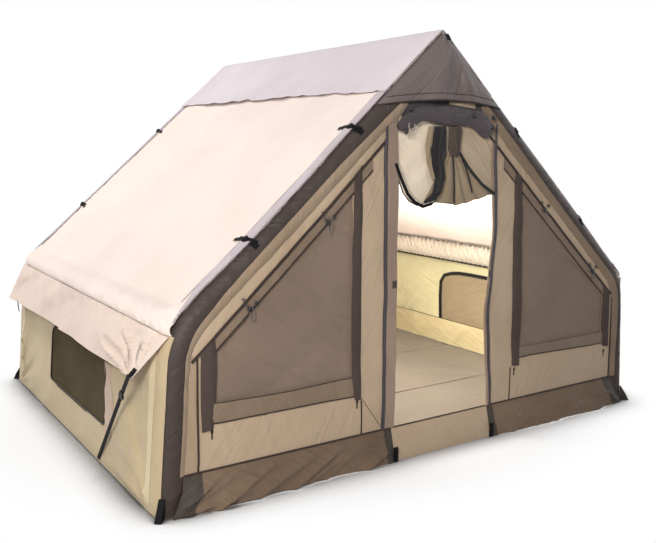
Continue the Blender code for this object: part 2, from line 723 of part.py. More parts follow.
def side_path():
    """The leg and knee line that a side wall follows, up to the eave beam."""
    end = eave_meeting()
    path = [point for point in ARCH_PATH if point[2] > end]
    x = KNEE_CENTRE[0] - KNEE_RADIUS * math.sin(end)
    z = KNEE_CENTRE[1] + KNEE_RADIUS * math.cos(end)
    return path + [(x, z, end)]


def side_section(x, z, angle, radius, on_ground):
    """Front wrap, flat run and rear wrap of a side wall at one place up the leg."""
    out = Vector((-math.sin(angle), 0, math.cos(angle)))
    along = Vector((math.cos(angle), 0, math.sin(angle)))
    points = []
    for end in (-1, 1):
        for i in range(WALL_WRAP_FACETS + 1):
            turn = math.tau / TUBE_SIDES * (WALL_WRAP_FACETS - i if end < 0 else i)
            offset = out * math.cos(turn) + Vector((0, end, 0)) * math.sin(turn)
            point = Vector((x, end * ARCH_Y, z)) + radius * offset
            if on_ground:
                point -= along * (point.z / along.z)
            points.append(point)
    return points


def rounded_rectangle(left, right, low, high, top_corner, low_corner, steps=4):
    corners = [(right - top_corner, high - top_corner, top_corner),
               (left + top_corner, high - top_corner, top_corner),
               (left + low_corner, low + low_corner, low_corner),
               (right - low_corner, low + low_corner, low_corner)]
    points = []
    for quarter, (cx, cz, radius) in enumerate(corners):
        for i in range(steps + 1):
            turn = math.pi / 2 * (quarter + i / steps)
            points.append((cx + radius * math.cos(turn), cz + radius * math.sin(turn)))
    return points


def side_window(name, sign, grow, near, far, finish):
    """A slab in the side window's outline, parallel to the leaning wall, between two depths."""
    front = SIDE_WINDOW_FRONT_INSET - ARCH_Y
    rear = ARCH_Y - SIDE_WINDOW_REAR_INSET
    outline = rounded_rectangle(front - grow, rear + grow, SIDE_WINDOW_SILL - grow, SIDE_WINDOW_HEAD + grow,
                                SIDE_WINDOW_TOP_CORNER + grow, SIDE_WINDOW_LOW_CORNER + grow)
    out = Vector((-math.sin(LEG_ANGLE), 0, math.cos(LEG_ANGLE)))
    foot = ARCH_PATH[0]
    sections = []
    for depth in (near, far):
        section = []
        for y, z in outline:
            base = Vector((foot[0] + z / math.tan(LEG_ANGLE), y, z)) + out * (SLEEVE_RADIUS + depth)
            section.append((sign * base.x, base.y, base.z))
        sections.append(section)
    return loft(name, sections, finish)


def side_wall(side, sign):
    """Side wall outside the legs, wrapped round them at both ends, with a mesh window behind it."""
    sections = []
    for i, (x, z, angle) in enumerate(side_path()):
        inside = side_section(x, z, angle, SLEEVE_RADIUS + CLEARANCE, i == 0)
        outside = side_section(x, z, angle, SLEEVE_RADIUS + CLEARANCE + CANVAS, i == 0)
        loop = inside + list(reversed(outside))
        sections.append([(sign * p.x, p.y, p.z) for p in loop])
    wall = loft(side + "_wall", sections, "wall_canvas")
    cut(wall, side_window(side + "_opening", sign, 0, -CANVAS, 3 * CANVAS, None))
    side_window(side + "_window", sign, WINDOW_LAP, -MESH, 0, "window_mesh")


def groundsheet():
    """Floor sheet that reaches the walls between the legs."""
    leg = -ARCH_PATH[0][0]
    wide = leg + SLEEVE_RADIUS - CLEARANCE
    narrow = leg - SLEEVE_RADIUS / math.sin(LEG_ANGLE) - CLEARANCE
    short = ARCH_Y - SLEEVE_RADIUS - CLEARANCE
    long = GABLE_WALL_Y - CANVAS - CLEARANCE
    corner = [(wide, short), (narrow, short), (narrow, long)]
    outline = corner + [(-x, y) for x, y in reversed(corner)]
    outline += [(-x, -y) for x, y in corner] + [(x, -y) for x, y in reversed(corner)]
    sections = [[(x, y, z) for x, y in outline] for z in (0, CANVAS)]
    return loft("groundsheet", sections, "ground_fabric")


AWNING_AXIS = Vector((EAVE_BEAM.x - BEAM_RADIUS - CLEARANCE - AWNING_BEAD_RADIUS, 0,
                      EAVE_BEAM.z - CLEARANCE - AWNING_BEAD_RADIUS))


def awning_tip(share):
    """The lower edge of an awning flap: share runs from -1 at the front corner to 1 at the rear."""
    bend = share ** 2
    drop = AWNING_MID_DROP + (AWNING_CORNER_DROP - AWNING_MID_DROP) * bend
    reach = AWNING_MID_STANDOFF + (AWNING_CORNER_STANDOFF - AWNING_MID_STANDOFF) * bend
    reach += drop / math.tan(LEG_ANGLE)
    return Vector((AWNING_AXIS.x - reach, (ARCH_Y - AWNING_CORNER_INSET) * share, AWNING_AXIS.z - drop))


def awning(side, sign):
    """Awning flap with a sewn bead at its hinge line and a hollowed lower edge."""
    bead_steps = 8
    sections = []
    for i in range(AWNING_STATIONS):
        share = 2 * i / (AWNING_STATIONS - 1) - 1
        tip = awning_tip(share)
        root = Vector((AWNING_AXIS.x, ROOF_END_Y * share, AWNING_AXIS.z))
        run = (tip - root).normalized()
        normal = Vector((run.z, 0, -run.x)).normalized()
        half = CANVAS / 2
        opening = math.asin(half / AWNING_BEAD_RADIUS)
        section = []
        for j in range(bead_steps + 1):
            turn = opening + (math.tau - 2 * opening) * j / bead_steps
            section.append(root + AWNING_BEAD_RADIUS * (run * math.cos(turn) + normal * math.sin(turn)))
        section += [tip - normal * half, tip + normal * half]
        sections.append([(sign * p.x, p.y, p.z) for p in section])
    origin = (sign * AWNING_AXIS.x, 0, AWNING_AXIS.z)
    return loft(side + "_awning", sections, "roof_canvas", origin, twisted=True)


def strap_line():
    """Pivot at the awning's front corner, foot at the wall's base, and the strap's three axes."""
    tip = awning_tip(-1)
    root = Vector((AWNING_AXIS.x, -ROOF_END_Y, AWNING_AXIS.z))
    flat = Vector((tip.x - root.x, 0, tip.z - root.z)).normalized()
    pivot = tip + flat * (STRAP_PIVOT_RADIUS + CLEARANCE)
    pivot.y += STRAP_WIDTH
    foot_x = ARCH_PATH[0][0] + STRAP_FOOT_RISE / math.tan(LEG_ANGLE)
    foot_x -= (SLEEVE_RADIUS + CLEARANCE + CANVAS) / math.sin(LEG_ANGLE) + WEBBING / 2 + CLEARANCE
    foot = Vector((foot_x, STRAP_FOOT_SETBACK - ARCH_Y, STRAP_FOOT_RISE))
    along = (foot - pivot).normalized()
    thick = along.cross(Vector((0, 1, 0))).normalized()
    wide = thick.cross(along).normalized()
    return pivot, foot, along, wide, thick


def strap(side, sign):
    """Tie-down strap from the awning's corner to the wall's base, with its ladder-lock buckle."""
    pivot, foot, along, wide, thick = strap_line()

    def placed(vector):
        return Vector((sign * vector.x, vector.y, vector.z))

    mitre = (wide - along * wide.z / along.z) * STRAP_WIDTH / 2
    face = thick * WEBBING / 2
    sections = []
    for centre in (pivot, foot):
        corners = [centre - mitre - face, centre + mitre - face, centre + mitre + face, centre - mitre + face]
        sections.append([placed(p) for p in corners])
    loft(side + "_strap", sections, "black_webbing", placed(pivot))
    middle = pivot + along * BUCKLE_DISTANCE
    axes = [placed(wide), placed(along), placed(thick)]
    buckle = block(side + "_buckle", placed(middle), axes, BUCKLE_SIZE, "black_plastic")
    slot = (STRAP_WIDTH + 2 * CLEARANCE, BUCKLE_SIZE[1] * 2, WEBBING + 2 * CLEARANCE)
    cut(buckle, block(side + "_slot", placed(middle), axes, slot, None))


def roof_tie(name, sign, end, place):
    """Webbing tie laid flat over the roof's edge and on round the arch sleeve."""
    base = EAVE_CORNER - SLOPE_OUT * (ROOF_STACK + SLEEVE_RADIUS) + UP_SLOPE * place
    outward = Vector((0, end, 0))
    base += outward * ARCH_Y
    inner = SLEEVE_RADIUS + CANVAS + 2 * CLEARANCE
    sections = []
    for i in range(TIE_STEPS + 1):
        turn = TIE_START + (TIE_END - TIE_START) * i / TIE_STEPS
        section = []
        for radius, shift in ((inner, -1), (inner, 1), (inner + WEBBING, 1), (inner + WEBBING, -1)):
            if turn < 0:
                point = SLOPE_OUT * radius + outward * inner * math.tan(turn)
            else:
                point = (SLOPE_OUT * math.cos(turn) + outward * math.sin(turn)) * radius
            point += base + UP_SLOPE * shift * TIE_WIDTH / 2
            section.append((sign * point.x, point.y, point.z))
        sections.append(section)
    return loft(name, sections, "black_webbing")


def ties():
    for side, sign in (("left", 1), ("right", -1)):
        for end, direction in (("front", -1), ("rear", 1)):
            for level, place in zip(("lower", "upper"), TIE_PLACES):
                roof_tie("_".join((end, side, level, "tie")), sign, direction, place)


def feet():
    """Webbing anchor feet at the four corners and at the door's jambs."""
    leg = Vector((ARCH_PATH[0][0], -ARCH_Y, 0))
    near = SLEEVE_RADIUS / math.sin(LEG_ANGLE) + CANVAS + 3 * CLEARANCE
    direction = Vector((-math.cos(FOOT_BEARING), -math.sin(FOOT_BEARING), 0))
    across = Vector((-direction.y, direction.x, 0)) * FOOT_WIDTH / 2
    profile = [(near, 0), (FOOT_REACH, 0), (FOOT_REACH - FOOT_TOE_INSET, FOOT_TOE_HEIGHT),
               (near + 3 * WEBBING, FOOT_HEIGHT), (near, FOOT_HEIGHT)]
    for side, sx in (("left", 1), ("right", -1)):
        for end, sy in (("front", 1), ("rear", -1)):
            sections = []
            for spread in (-across, across):
                section = []
                for reach, height in profile:
                    point = leg + direction * reach + spread
                    lean = height / math.tan(LEG_ANGLE)
                    section.append((sx * (point.x + lean), sy * point.y, height))
                sections.append(section)
            loft("_".join((end, side, "foot")), sections, "black_webbing")
    width, depth, height = DOOR_FOOT_SIZE
    for side, sign in (("left", -1), ("right", 1)):
        jamb = gable_x(sign * (DOOR_HALF_OPENING + width / 2), THRESHOLD_HEIGHT)
        out = -GABLE_WALL_Y - SKIRT_FLARE - CLEARANCE - depth / 2
        block("door_" + side + "_foot", (jamb, out, height / 2), ((1, 0, 0), (0, 1, 0), (0, 0, 1)),
              DOOR_FOOT_SIZE, "black_webbing")


def zip_slider(name, x):
    """Zip slider with its hanging pull, at rest at the bottom of its zip."""
    width, depth, height = SLIDER_SIZE
    pull_width, pull_depth, pull_height = PULL_SIZE
    middle = -GABLE_WALL_Y - CLEARANCE - depth / 2
    top = SLIDER_REST_HEIGHT + height / 2
    low = SLIDER_REST_HEIGHT - height / 2
    sections = []
    for z, wide, deep in ((top, width, depth), (low, width, depth), (low, pull_width, pull_depth),
                          (low - pull_height, pull_width, pull_depth)):
        sections.append([(x + a * wide / 2, middle + b * deep / 2, z)
                         for a, b in ((-1, -1), (1, -1), (1, 1), (-1, 1))])
    loft(name, sections, "zip_metal", (x, middle, SLIDER_REST_HEIGHT))


def sliders():
    places = {"inner": FRONT_WINDOW_INNER - ZIP_INSET, "outer": front_window_outer() + ZIP_INSET}
    for side, sign in (("left", -1), ("right", 1)):
        for name, place in places.items():
            zip_slider("_".join((side, name, "zip_slider")), gable_x(sign * place, SLIDER_REST_HEIGHT))


def door_roll():
    """Mesh door gathered into a sagging roll, under the arch's sleeve and the hood's hem."""
    hood_hem = ROOF_UNDER_PEAK - HOOD_DROP
    base = min(slope_edge(ROLL_PLACES[0]), hood_hem - ROLL_HEM_GAP)
    angles = [math.tau * i / ROLL_SIDES for i in range(ROLL_SIDES)]
    sections = []
    for x, rise, radius in zip(ROLL_PLACES, ROLL_RISES, ROLL_RADII):
        depth = ROLL_DEPTH_SHARE * radius
        middle = -GABLE_WALL_Y - CLEARANCE - depth
        height = base + rise
        sections.append([(x, middle + depth * math.cos(a), height + radius * math.sin(a)) for a in angles])
    return loft("door_roll", sections, "sleeve_fabric", smooth=True)


def door_drape():
    """Canvas door hung up in the doorway: folds fan out from a tie near the top to the lower edge."""
    columns = DRAPE_COLUMNS - 1
    near = -GABLE_WALL_Y + CANVAS + CLEARANCE
    lowest = DRAPE_LOWEST_SHARE
    tube_peak = HEIGHT - (ROOF_STACK + SLEEVE_DIAMETER + 2 * CLEARANCE) / math.cos(SLOPE)
    top = door_head() + DRAPE_TOP_RISE
    grid = {}
    for face, shift in (("front", 0), ("back", CANVAS)):
        for i in range(DRAPE_COLUMNS):
            share = i / columns
            x = DRAPE_LEFT + (DRAPE_RIGHT - DRAPE_LEFT) * share
            if share < lowest:
                drop = DRAPE_LEFT_DROP + (DRAPE_MID_DROP - DRAPE_LEFT_DROP) * share / lowest
            else:
                drop = DRAPE_MID_DROP + (DRAPE_RIGHT_DROP - DRAPE_MID_DROP) * (share - lowest) / (1 - lowest)
            low = top - drop
            high = min(top, tube_peak - abs(x) * math.tan(SLOPE))
            for j in range(DRAPE_ROWS):
                down = j / (DRAPE_ROWS - 1)
                fold = DRAPE_FOLD_DEPTH * (0.5 - 0.5 * math.cos(math.tau * DRAPE_FOLDS * share)) * down ** 2
                grid[face, i, j] = (x, near + fold + shift, high + (low - high) * down)
    index = {key: number for number, key in enumerate(grid)}
    faces = []
    for i in range(columns):
        for j in range(DRAPE_ROWS - 1):
            for face in ("front", "back"):
                faces.append([index[face, i + a, j + b] for a, b in ((0, 0), (1, 0), (1, 1), (0, 1))])
    last = DRAPE_ROWS - 1
    rim = [(i, 0) for i in range(columns)] + [(columns, j) for j in range(last)]
    rim += [(i, last) for i in range(columns, 0, -1)] + [(0, j) for j in range(last, 0, -1)]
    for here, there in zip(rim, rim[1:] + rim[:1]):
        corners = (("front", here), ("front", there), ("back", there), ("back", here))
        faces.append([index[face, *place] for face, place in corners])
    return make_object("door_drape", list(grid.values()), faces, "wall_canvas", twisted=True)


clear_scene()
frame()
valve()
for side_name, side_sign in (("left", 1), ("right", -1)):
    roof(side_name, side_sign)
    side_wall(side_name, side_sign)
    awning(side_name, side_sign)
    strap(side_name, side_sign)
ridge_cap()
front_hood()
front_wall("left", -1)
front_wall("right", 1)
gable_top()
skirts()
rear_wall()
groundsheet()
ties()
feet()
sliders()
door_roll()
door_drape()
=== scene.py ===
"""Inflatable cabin tent: the finished look of every piece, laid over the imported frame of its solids.

The door gable faces -Y, the ridge runs along Y and +Z is up. Everything is in metres.
"""

import math

import bpy
import numpy as np
from mathutils import Matrix, Vector


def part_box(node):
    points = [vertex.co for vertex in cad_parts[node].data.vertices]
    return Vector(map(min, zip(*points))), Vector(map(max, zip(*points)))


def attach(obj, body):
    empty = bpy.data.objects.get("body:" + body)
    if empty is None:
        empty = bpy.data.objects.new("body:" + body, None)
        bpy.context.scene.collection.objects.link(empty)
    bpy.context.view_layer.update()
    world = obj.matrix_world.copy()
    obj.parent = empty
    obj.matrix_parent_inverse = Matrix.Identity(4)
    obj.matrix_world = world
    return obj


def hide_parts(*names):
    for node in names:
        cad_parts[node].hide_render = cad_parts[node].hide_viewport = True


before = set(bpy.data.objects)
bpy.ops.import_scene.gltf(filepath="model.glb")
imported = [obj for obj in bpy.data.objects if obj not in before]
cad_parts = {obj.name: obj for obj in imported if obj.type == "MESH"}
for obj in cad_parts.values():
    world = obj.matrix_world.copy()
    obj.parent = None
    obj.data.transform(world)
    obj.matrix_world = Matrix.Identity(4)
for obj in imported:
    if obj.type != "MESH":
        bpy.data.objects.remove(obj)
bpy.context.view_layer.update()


# Viewpoint: off the front left corner at eye height, turned 34 degrees to the right of the ridge's line and
# tipped 9 degrees down.
CAMERA_PLACE = (-2.558, -4.019, 1.476)
CAMERA_BEARING = math.radians(-33.666)
CAMERA_TIP = math.radians(8.979)
CAMERA_ROLL = math.radians(0.434)
CAMERA_LENS, CAMERA_SENSOR = 44.29, 36

camera_data = bpy.data.cameras.new("camera")
camera_data.sensor_width = CAMERA_SENSOR
camera_data.lens = CAMERA_LENS
camera = bpy.data.objects.new("camera", camera_data)
bpy.context.scene.collection.objects.link(camera)
camera.matrix_world = (Matrix.Translation(CAMERA_PLACE) @ Matrix.Rotation(CAMERA_BEARING, 4, "Z")
                       @ Matrix.Rotation(math.pi / 2 - CAMERA_TIP, 4, "X") @ Matrix.Rotation(CAMERA_ROLL, 4, "Z"))
bpy.context.scene.camera = camera
bpy.context.scene.view_settings.view_transform = "Standard"


def linear(code):
    """An sRGB hex colour as the linear colour that a node takes."""
    channels = [int(code[i:i + 2], 16) / 255 for i in (1, 3, 5)]
    return (*[c / 12.92 if c <= 0.04045 else ((c + 0.055) / 1.055) ** 2.4 for c in channels], 1)


def node(tree, kind, inputs=(), **settings):
    """Adds one node with its settings, its values and its links."""
    made = tree.nodes.new(kind)
    for key, value in settings.items():
        setattr(made, key, value)
    for socket, value in dict(inputs).items():
        if isinstance(value, bpy.types.NodeSocket):
            tree.links.new(value, made.inputs[socket])
        else:
            made.inputs[socket].default_value = value
    return made


def clear_tree(owner):
    """The emptied node tree of a material or a world."""
    owner.use_nodes = True
    owner.node_tree.nodes.clear()
    return owner.node_tree


def maths(tree, operation, *values):
    """The result of a maths node."""
    return node(tree, "ShaderNodeMath", dict(enumerate(values)), operation=operation).outputs[0]


def add(name, operator, **settings):
    """Adds one named object by an operator, with nothing else selected."""
    bpy.ops.object.select_all(action="DESELECT")
    operator(**settings)
    made = bpy.context.object
    made.name = made.data.name = name
    return made


# Studio: a white sweep for the background. A soft sky stands high behind on the left and a fill in front, weaker
# lamps light the rear and the right, and two inside stand for daylight that comes through the pale canvas.
def lamp(name, place, aim, size, power, colour):
    """A square soft lamp."""
    data = bpy.data.lights.new(name, "AREA")
    data.size = size
    data.energy = power
    data.color = linear(colour)[:3]
    made = bpy.data.objects.new(name, data)
    made.location = place
    made.rotation_euler = (Vector(aim) - Vector(place)).to_track_quat("-Z", "Y").to_euler()
    bpy.context.scene.collection.objects.link(made)


lamp("sky", (-2.9, 2.5, 4.9), (-0.6, 0.2, 0.9), 1.7, 172, "#FFFBF6")
lamp("front_fill", (-3.5, -4.0, 2.5), (-0.4, -1, 0.7), 1.0, 150, "#FFF7F0")
lamp("rear_left", (-3.6, 1.8, 2.6), (-1.0, 0.9, 1.0), 0.8, 13, "#FFFDFB")
lamp("rear_right", (4.5, 3.6, 3.4), (0.3, 0.2, 0.9), 2.0, 75, "#FFFCF8")
lamp("right_fill", (4.6, -3.0, 3.2), (0, 0, 0.8), 3.0, 16, "#FFFFFF")
lamp("under_roof", (-0.30, -0.42, 1.05), (1.4, 0.35, 0.35), 0.4, 28, "#FFFAEC")
lamp("up_at_roof", (0.1, 0.15, 0.75), (0.1, 0.15, 2.0), 1.0, 30, "#FFFDF8")

world = bpy.data.worlds.new("studio")
bpy.context.scene.world = world
tree = clear_tree(world)
rays = node(tree, "ShaderNodeLightPath").outputs
mirrored = maths(tree, "MAXIMUM", rays["Is Camera Ray"], rays["Is Glossy Ray"])
direct = maths(tree, "MAXIMUM", mirrored, rays["Is Transmission Ray"])
room_light = node(tree, "ShaderNodeBackground", {"Color": linear("#F4F6FA"), "Strength": 0.20})
sweep = node(tree, "ShaderNodeBackground", {"Color": (1, 1, 1, 1), "Strength": 1.0})
choice = node(tree, "ShaderNodeMixShader", {0: direct, 1: room_light.outputs[0], 2: sweep.outputs[0]})
node(tree, "ShaderNodeOutputWorld", {"Surface": choice.outputs[0]})

floor = add("floor", bpy.ops.mesh.primitive_plane_add, size=60, location=(0, 0, -0.001))
floor_paint = bpy.data.materials.new("matt_white_paint")
tree = clear_tree(floor_paint)
rays = node(tree, "ShaderNodeLightPath").outputs
# Painted shade: ambient occlusion darkens the floor's colour and holds back its white near the tent, as a painted
# contact shadow.
shade = node(tree, "ShaderNodeAmbientOcclusion", {"Distance": 0.20}, samples=12)
unshaded = node(tree, "ShaderNodeMapRange", {"Value": shade.outputs["AO"], "From Min": 0.50, "From Max": 0.98,
                                             "To Min": 0.0, "To Max": 1.0}).outputs[0]
painted_contact_shade = node(tree, "ShaderNodeMix", {0: unshaded, 6: (0.12, 0.115, 0.115, 1), 7: (0.86, 0.86, 0.87, 1)},
            data_type="RGBA")
matt = node(tree, "ShaderNodeBsdfDiffuse", {"Color": painted_contact_shade.outputs[2]})
white = node(tree, "ShaderNodeEmission", {"Color": (1, 1, 1, 1), "Strength": 1.0})
spot = node(tree, "ShaderNodeTexCoord")
oval = node(tree, "ShaderNodeMapping", {"Vector": spot.outputs["Object"], "Scale": (0.67, 0.84, 1)})
radius = node(tree, "ShaderNodeVectorMath", {0: oval.outputs["Vector"]}, operation="LENGTH")
away = node(tree, "ShaderNodeMapRange", {"Value": radius.outputs["Value"], "From Min": 0.95, "From Max": 1.45,
                                         "To Min": 0.55, "To Max": 1.0}, interpolation_type="SMOOTHSTEP")
seen = maths(tree, "MULTIPLY", maths(tree, "MULTIPLY", rays["Is Camera Ray"], away.outputs[0]), unshaded)
paint = node(tree, "ShaderNodeMixShader", {0: seen, 1: matt.outputs[0], 2: white.outputs[0]})
node(tree, "ShaderNodeOutputMaterial", {"Surface": paint.outputs[0]})
floor.data.materials.append(floor_paint)


# Arch sleeves: dark polyester tubes, one each side of both arches, sewn round the air beams and joined at the
# apex. They are cut a little full, so the fabric takes fine slanting creases over the pressed beam.
HEIGHT = 2.000
FLOOR_WIDTH = 2.914
EAVE_WIDTH = 2.796
EAVE_HEIGHT = 0.752
ARCH_Y = 1.095
SLEEVE_RADIUS = 0.065
BEAM_RADIUS = 0.0575
KNEE_RADIUS = 0.250
APEX_RADIUS = 0.100
CANVAS = 0.003
CLEARANCE = 0.0003
ROOF_DEPTH = CANVAS + CLEARANCE
SLEEVE_DEPTH = 2 * ROOF_DEPTH
SLOPE = math.atan2(HEIGHT - EAVE_HEIGHT, EAVE_WIDTH / 2)
LEG_ANGLE = math.atan2(EAVE_HEIGHT, (FLOOR_WIDTH - EAVE_WIDTH) / 2)
SLOPE_LENGTH = math.hypot(HEIGHT - EAVE_HEIGHT, EAVE_WIDTH / 2)
CLOTH = 0.0012
SMOOTH_BELOW = math.radians(50)
SIDES = (("left", 1), ("right", -1))
ENDS = (("front", -1), ("rear", 1))


def crossing(point_a, angle_a, point_b, angle_b):
    """Where two lines in the XZ plane meet."""
    dx, dz = point_b[0] - point_a[0], point_b[1] - point_a[1]
    run = (dx * math.sin(angle_b) - dz * math.cos(angle_b)) / math.sin(angle_b - angle_a)
    return point_a[0] + run * math.cos(angle_a), point_a[1] + run * math.sin(angle_a)


def arch_line(arc_steps=24):
    """The left half of an arch's centre line: distance from the foot, x, z and direction at close stations."""
    foot = (-FLOOR_WIDTH / 2 + CANVAS + CLEARANCE + SLEEVE_RADIUS / math.sin(LEG_ANGLE), 0.0)
    deep = SLEEVE_DEPTH + SLEEVE_RADIUS
    eave = (-EAVE_WIDTH / 2 + deep * math.sin(SLOPE), EAVE_HEIGHT - deep * math.cos(SLOPE))
    corner = crossing(foot, LEG_ANGLE, eave, SLOPE)
    run = KNEE_RADIUS * math.tan((LEG_ANGLE - SLOPE) / 2)
    start = (corner[0] - run * math.cos(LEG_ANGLE), corner[1] - run * math.sin(LEG_ANGLE))
    centre = (start[0] + KNEE_RADIUS * math.sin(LEG_ANGLE), start[1] - KNEE_RADIUS * math.cos(LEG_ANGLE))
    stations = [(*foot, LEG_ANGLE)]
    for i in range(arc_steps + 1):
        turn = LEG_ANGLE + (SLOPE - LEG_ANGLE) * i / arc_steps
        stations.append((centre[0] - KNEE_RADIUS * math.sin(turn), centre[1] + KNEE_RADIUS * math.cos(turn), turn))
    apex = eave[1] - eave[0] * math.tan(SLOPE) - APEX_RADIUS / math.cos(SLOPE)
    for i in range(arc_steps + 1):
        turn = SLOPE * (1 - i / arc_steps)
        stations.append((-APEX_RADIUS * math.sin(turn), apex + APEX_RADIUS * math.cos(turn), turn))
    x, z, angle = np.array(stations).T
    distance = np.concatenate([[0], np.cumsum(np.hypot(np.diff(x), np.diff(z)))])
    return distance, x, z, angle, corner


ARCH_DISTANCE, ARCH_X, ARCH_Z, ARCH_ANGLE, KNEE_CORNER = arch_line()
ARCH_LENGTH = ARCH_DISTANCE[-1]


def on_arch(distance, out):
    """Points of the left arch's plane at a distance from the foot and a distance outside the centre line."""
    x = np.interp(distance, ARCH_DISTANCE, ARCH_X)
    z = np.interp(distance, ARCH_DISTANCE, ARCH_Z)
    angle = np.interp(distance, ARCH_DISTANCE, ARCH_ANGLE)
    return x - out * np.sin(angle), z + out * np.cos(angle)


def swell(x, y, seed=0.0):
    """Smooth seeded noise between -1 and 1, one bump to each unit."""
    x, y = np.broadcast_arrays(np.asarray(x, float), np.asarray(y, float))
    column, row = np.floor(x), np.floor(y)
    a, b = x - column, y - row
    a, b = a * a * (3 - 2 * a), b * b * (3 - 2 * b)

    def corner(i, j):
        value = np.sin((column + i) * 127.1 + (row + j) * 311.7 + seed * 74.7) * 43758.5453
        return 2 * (value - np.floor(value)) - 1

    low = corner(0, 0) * (1 - a) + corner(1, 0) * a
    high = corner(0, 1) * (1 - a) + corner(1, 1) * a
    return low * (1 - b) + high * b


def crease(x, y, seed=0.0):
    """Ridged noise between 0 and 1: narrow crests where the smooth noise passes through nothing."""
    return (1 - np.abs(swell(x, y, seed))) ** 3


def fade(value, low, high):
    """Rises smoothly from 0 at low to 1 at high; low above high turns it round."""
    share = np.clip((value - low) / (high - low), 0, 1)
    return share * share * (3 - 2 * share)


def apply_all(piece):
    """Applies a piece's modifiers as an operator does."""
    bpy.context.view_layer.objects.active = piece
    for modifier in list(piece.modifiers):
        bpy.ops.object.modifier_apply(modifier=modifier.name)


def read(items, field, size=3):
    """One field of all the vertices, corners or faces of a mesh."""
    values = np.empty(len(items) * size)
    items.foreach_get(field, values)
    return values.reshape(-1, size)


def cloth(name, flat, spacing, lay, outward, finish, thickness=CLOTH, pattern=None):
    """A cut of cloth: a grid laid by a rule of two shares from 0 to 1, turned outwards and given its thickness.

    Its UV map is in metres on the flat cut, or on the two axes that pattern names.
    """
    columns, rows = (max(3, round(size / spacing)) for size in flat)
    made = add(name, bpy.ops.mesh.primitive_grid_add, x_subdivisions=columns, y_subdivisions=rows, size=2)
    mesh = made.data
    shares = (read(mesh.vertices, "co")[:, :2] + 1) / 2
    placed = np.stack(np.broadcast_arrays(*lay(shares[:, 0], shares[:, 1])), axis=1)
    mesh.vertices.foreach_set("co", placed.ravel())
    corners = mesh.uv_layers.active.data
    uv = read(corners, "uv", 2) * flat
    if pattern:
        uv = placed[[loop.vertex_index for loop in mesh.loops]][:, pattern]
    corners.foreach_set("uv", uv.ravel())
    mesh.update()
    away = outward(read(mesh.polygons, "center")) if callable(outward) else np.array(outward, float)
    facing = (read(mesh.polygons, "normal") * away).sum()
    bpy.ops.object.mode_set(mode="EDIT")
    bpy.ops.mesh.select_all(action="SELECT")
    bpy.ops.mesh.remove_doubles(threshold=0.00005)
    if facing < 0:
        bpy.ops.mesh.flip_normals()
    bpy.ops.object.mode_set(mode="OBJECT")
    made["area"] = sum(face.area for face in made.data.polygons)
    if thickness:
        wall = made.modifiers.new("thickness", "SOLIDIFY")
        wall.thickness = thickness
        wall.offset = -1
        apply_all(made)
    bpy.ops.object.shade_smooth_by_angle(angle=SMOOTH_BELOW)
    made.data.materials.append(finish)
    return made


def declare(piece, flat, held, slot, body="tent", rests_on=(), cad=(), with_pieces=()):
    """Drops a sheet's area, attaches it to its body, and hides the solids that it stands for."""
    del piece["area"]
    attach(piece, body)
    if cad:
        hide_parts(*cad)


def sheet(name, flat, spacing, lay, outward, finish, held="stretched", slot="wall_canvas", thickness=CLOTH,
          pattern=None, **tied):
    declare(cloth(name, flat, spacing, lay, outward, finish, thickness, pattern), flat, held, slot, **tied)


def relief(tree, height, distance, under=None, **settings):
    """The surface that a height raises by a distance on another one."""
    inputs = {"Height": height, "Strength": 1.0, "Distance": distance}
    if under is not None:
        inputs["Normal"] = under
    return node(tree, "ShaderNodeBump", inputs, **settings).outputs["Normal"]


def woven(name, colour, shade, thread=0.0030, weave=0.0002, crumple=0.0015, roughness=0.85, sheen=0.15,
          drag=None, specular=0.25):
    """Plain-woven cloth: threads at right angles on the UV map, a soft uneven tone, and small crumples.

    drag is a bearing in degrees, a width and a depth in metres: the fine pulls that run across a stretched cut.
    """
    made = bpy.data.materials.new(name)
    tree = clear_tree(made)
    spot = node(tree, "ShaderNodeTexCoord").outputs
    cloud = node(tree, "ShaderNodeTexNoise", {"Vector": spot["Object"], "Scale": 2.2, "Detail": 5.0,
                                              "Roughness": 0.55})
    tone = node(tree, "ShaderNodeValToRGB", {"Fac": cloud.outputs["Fac"]})
    for stop, place, code in zip(tone.color_ramp.elements, (0.32, 0.68), (shade, colour)):
        stop.position = place
        stop.color = linear(code)
    threads = [node(tree, "ShaderNodeTexWave", {"Vector": spot["UV"], "Scale": math.tau / 20 / thread},
                    wave_type="BANDS", bands_direction=direction).outputs["Fac"] for direction in ("X", "Y")]
    surface = relief(tree, maths(tree, "MULTIPLY", *threads), weave)
    folds = node(tree, "ShaderNodeTexNoise", {"Vector": spot["Object"], "Scale": 17.0, "Detail": 3.0,
                                              "Distortion": 0.6})
    surface = relief(tree, folds.outputs["Fac"], crumple, surface)
    if drag:
        bearing, width, depth = drag
        turned = node(tree, "ShaderNodeMapping", {"Vector": spot["UV"], "Rotation": (0, 0, -math.radians(bearing))})
        drawn = node(tree, "ShaderNodeMapping", {"Vector": turned.outputs["Vector"],
                                                 "Scale": (0.14 / width, 1 / width, 1)})
        pulls = node(tree, "ShaderNodeTexNoise", {"Vector": drawn.outputs["Vector"], "Scale": 1.0, "Detail": 2.0,
                                                  "Distortion": 0.5})
        ridge = maths(tree, "ABSOLUTE", maths(tree, "SUBTRACT", pulls.outputs["Fac"], 0.5))
        surface = relief(tree, ridge, depth * 3, surface, invert=True)
    shader = node(tree, "ShaderNodeBsdfPrincipled", {"Base Color": tone.outputs["Color"], "Roughness": roughness,
                                                     "Sheen Weight": sheen, "Sheen Roughness": 0.5,
                                                     "Specular IOR Level": specular, "Normal": surface})
    node(tree, "ShaderNodeOutputMaterial", {"Surface": shader.outputs[0]})
    return made


